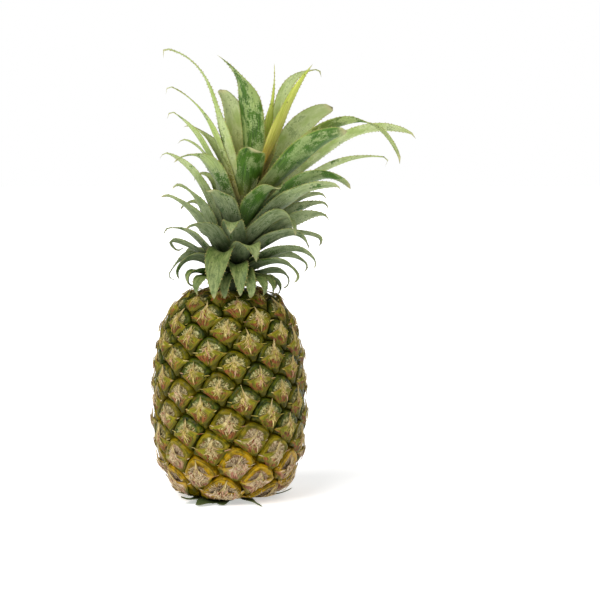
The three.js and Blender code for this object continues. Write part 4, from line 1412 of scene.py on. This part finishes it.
def floor_material():
    """White paper with a glow of its own."""
    n = Nodes("floor_paper", 0.9, 0.1)
    n.set("Emission Color", (255, 255, 255))
    n.set("Emission Strength", FLOOR_GLOW)
    return n.finish(n.mix(n.noise(6, 2), (250, 250, 250), (254, 254, 254)))


# ---- Scene ----


def build_fruit():
    eyes = all_eyes()
    rind_piece(eyes, rind_material())
    bracts, hairs, straws = Mesh(), Mesh(), Mesh()
    for eye in eyes[:EYE_COUNT]:
        lean = bract_sheet(bracts, eye)
        pad_hairs(hairs, eye)
        straw_fibres(straws, eye, lean)
        tip_fibres(straws, eye, lean)
        bract_spikes(straws, eye)
    bracts.piece("bracts", bract_material(), "rind", "fruit")
    hairs.piece("pad_hairs", hair_material(), "rind", "fruit")
    straws.piece("straw", straw_material(), "rind", "fruit")


def build_stage():
    mesh = bpy.data.meshes.new("floor")
    corners = [(x * FLOOR_REACH, y * FLOOR_REACH, 0) for x, y in FLOOR_CORNERS]
    mesh.from_pydata(corners, [], [(0, 1, 2, 3)])
    mesh.materials.append(floor_material())
    floor = placed("floor", mesh)


def build_world():
    """A white surround, which lights the part only dimly and its glossy spots more dimly still."""
    world = bpy.data.worlds.new("studio")
    tree = Tree(world)
    glossy = tree.add("LightPath", "Is Glossy Ray", {})
    seen = tree.add("LightPath", "Is Camera Ray", {})
    limits = {"To Min": DIFFUSE_WORLD, "To Max": MIRRORED_WORLD}
    dimmed = tree.add("MapRange", "Result", {"Value": glossy, **limits})
    limits = {"To Min": dimmed, "To Max": SEEN_WORLD}
    strength = tree.add("MapRange", "Result", {"Value": seen, **limits})
    background = world.node_tree.nodes["Background"]
    tree.feed((255, 255, 255), background.inputs["Color"])
    tree.feed(strength, background.inputs["Strength"])
    bpy.context.scene.world = world


def build_suns():
    for name, origin, angle, energy in SUNS:
        data = bpy.data.lights.new(name, "SUN")
        data.angle = math.radians(angle)
        data.energy = energy
        placed(name, data).rotation_euler = Vector(origin).to_track_quat("Z", "Y").to_euler()


def build_camera():
    data = bpy.data.cameras.new("camera")
    data.lens = CAMERA_LENS
    data.sensor_width = CAMERA_SENSOR
    camera = placed("camera", data)
    elevation = math.radians(CAMERA_ELEVATION)
    offset = Vector((0, -math.cos(elevation), math.sin(elevation))) * CAMERA_DISTANCE
    camera.location = Vector(CAMERA_TARGET) + offset
    camera.rotation_euler = (-offset).to_track_quat("-Z", "Y").to_euler()
    bpy.context.scene.camera = camera


bpy.context.scene.view_settings.view_transform = "Standard"
build_camera()
build_stage()
build_world()
build_suns()
build_fruit()
crown_piece(leaf_material("crown_leaf"))
heart_piece(leaf_material("heart_leaf", vivid=0.75))
# The basal leaves under the fruit get painted shade.
stalk_pieces(leaf_material("basal_leaf", painted_shade=0.55), cut_material())
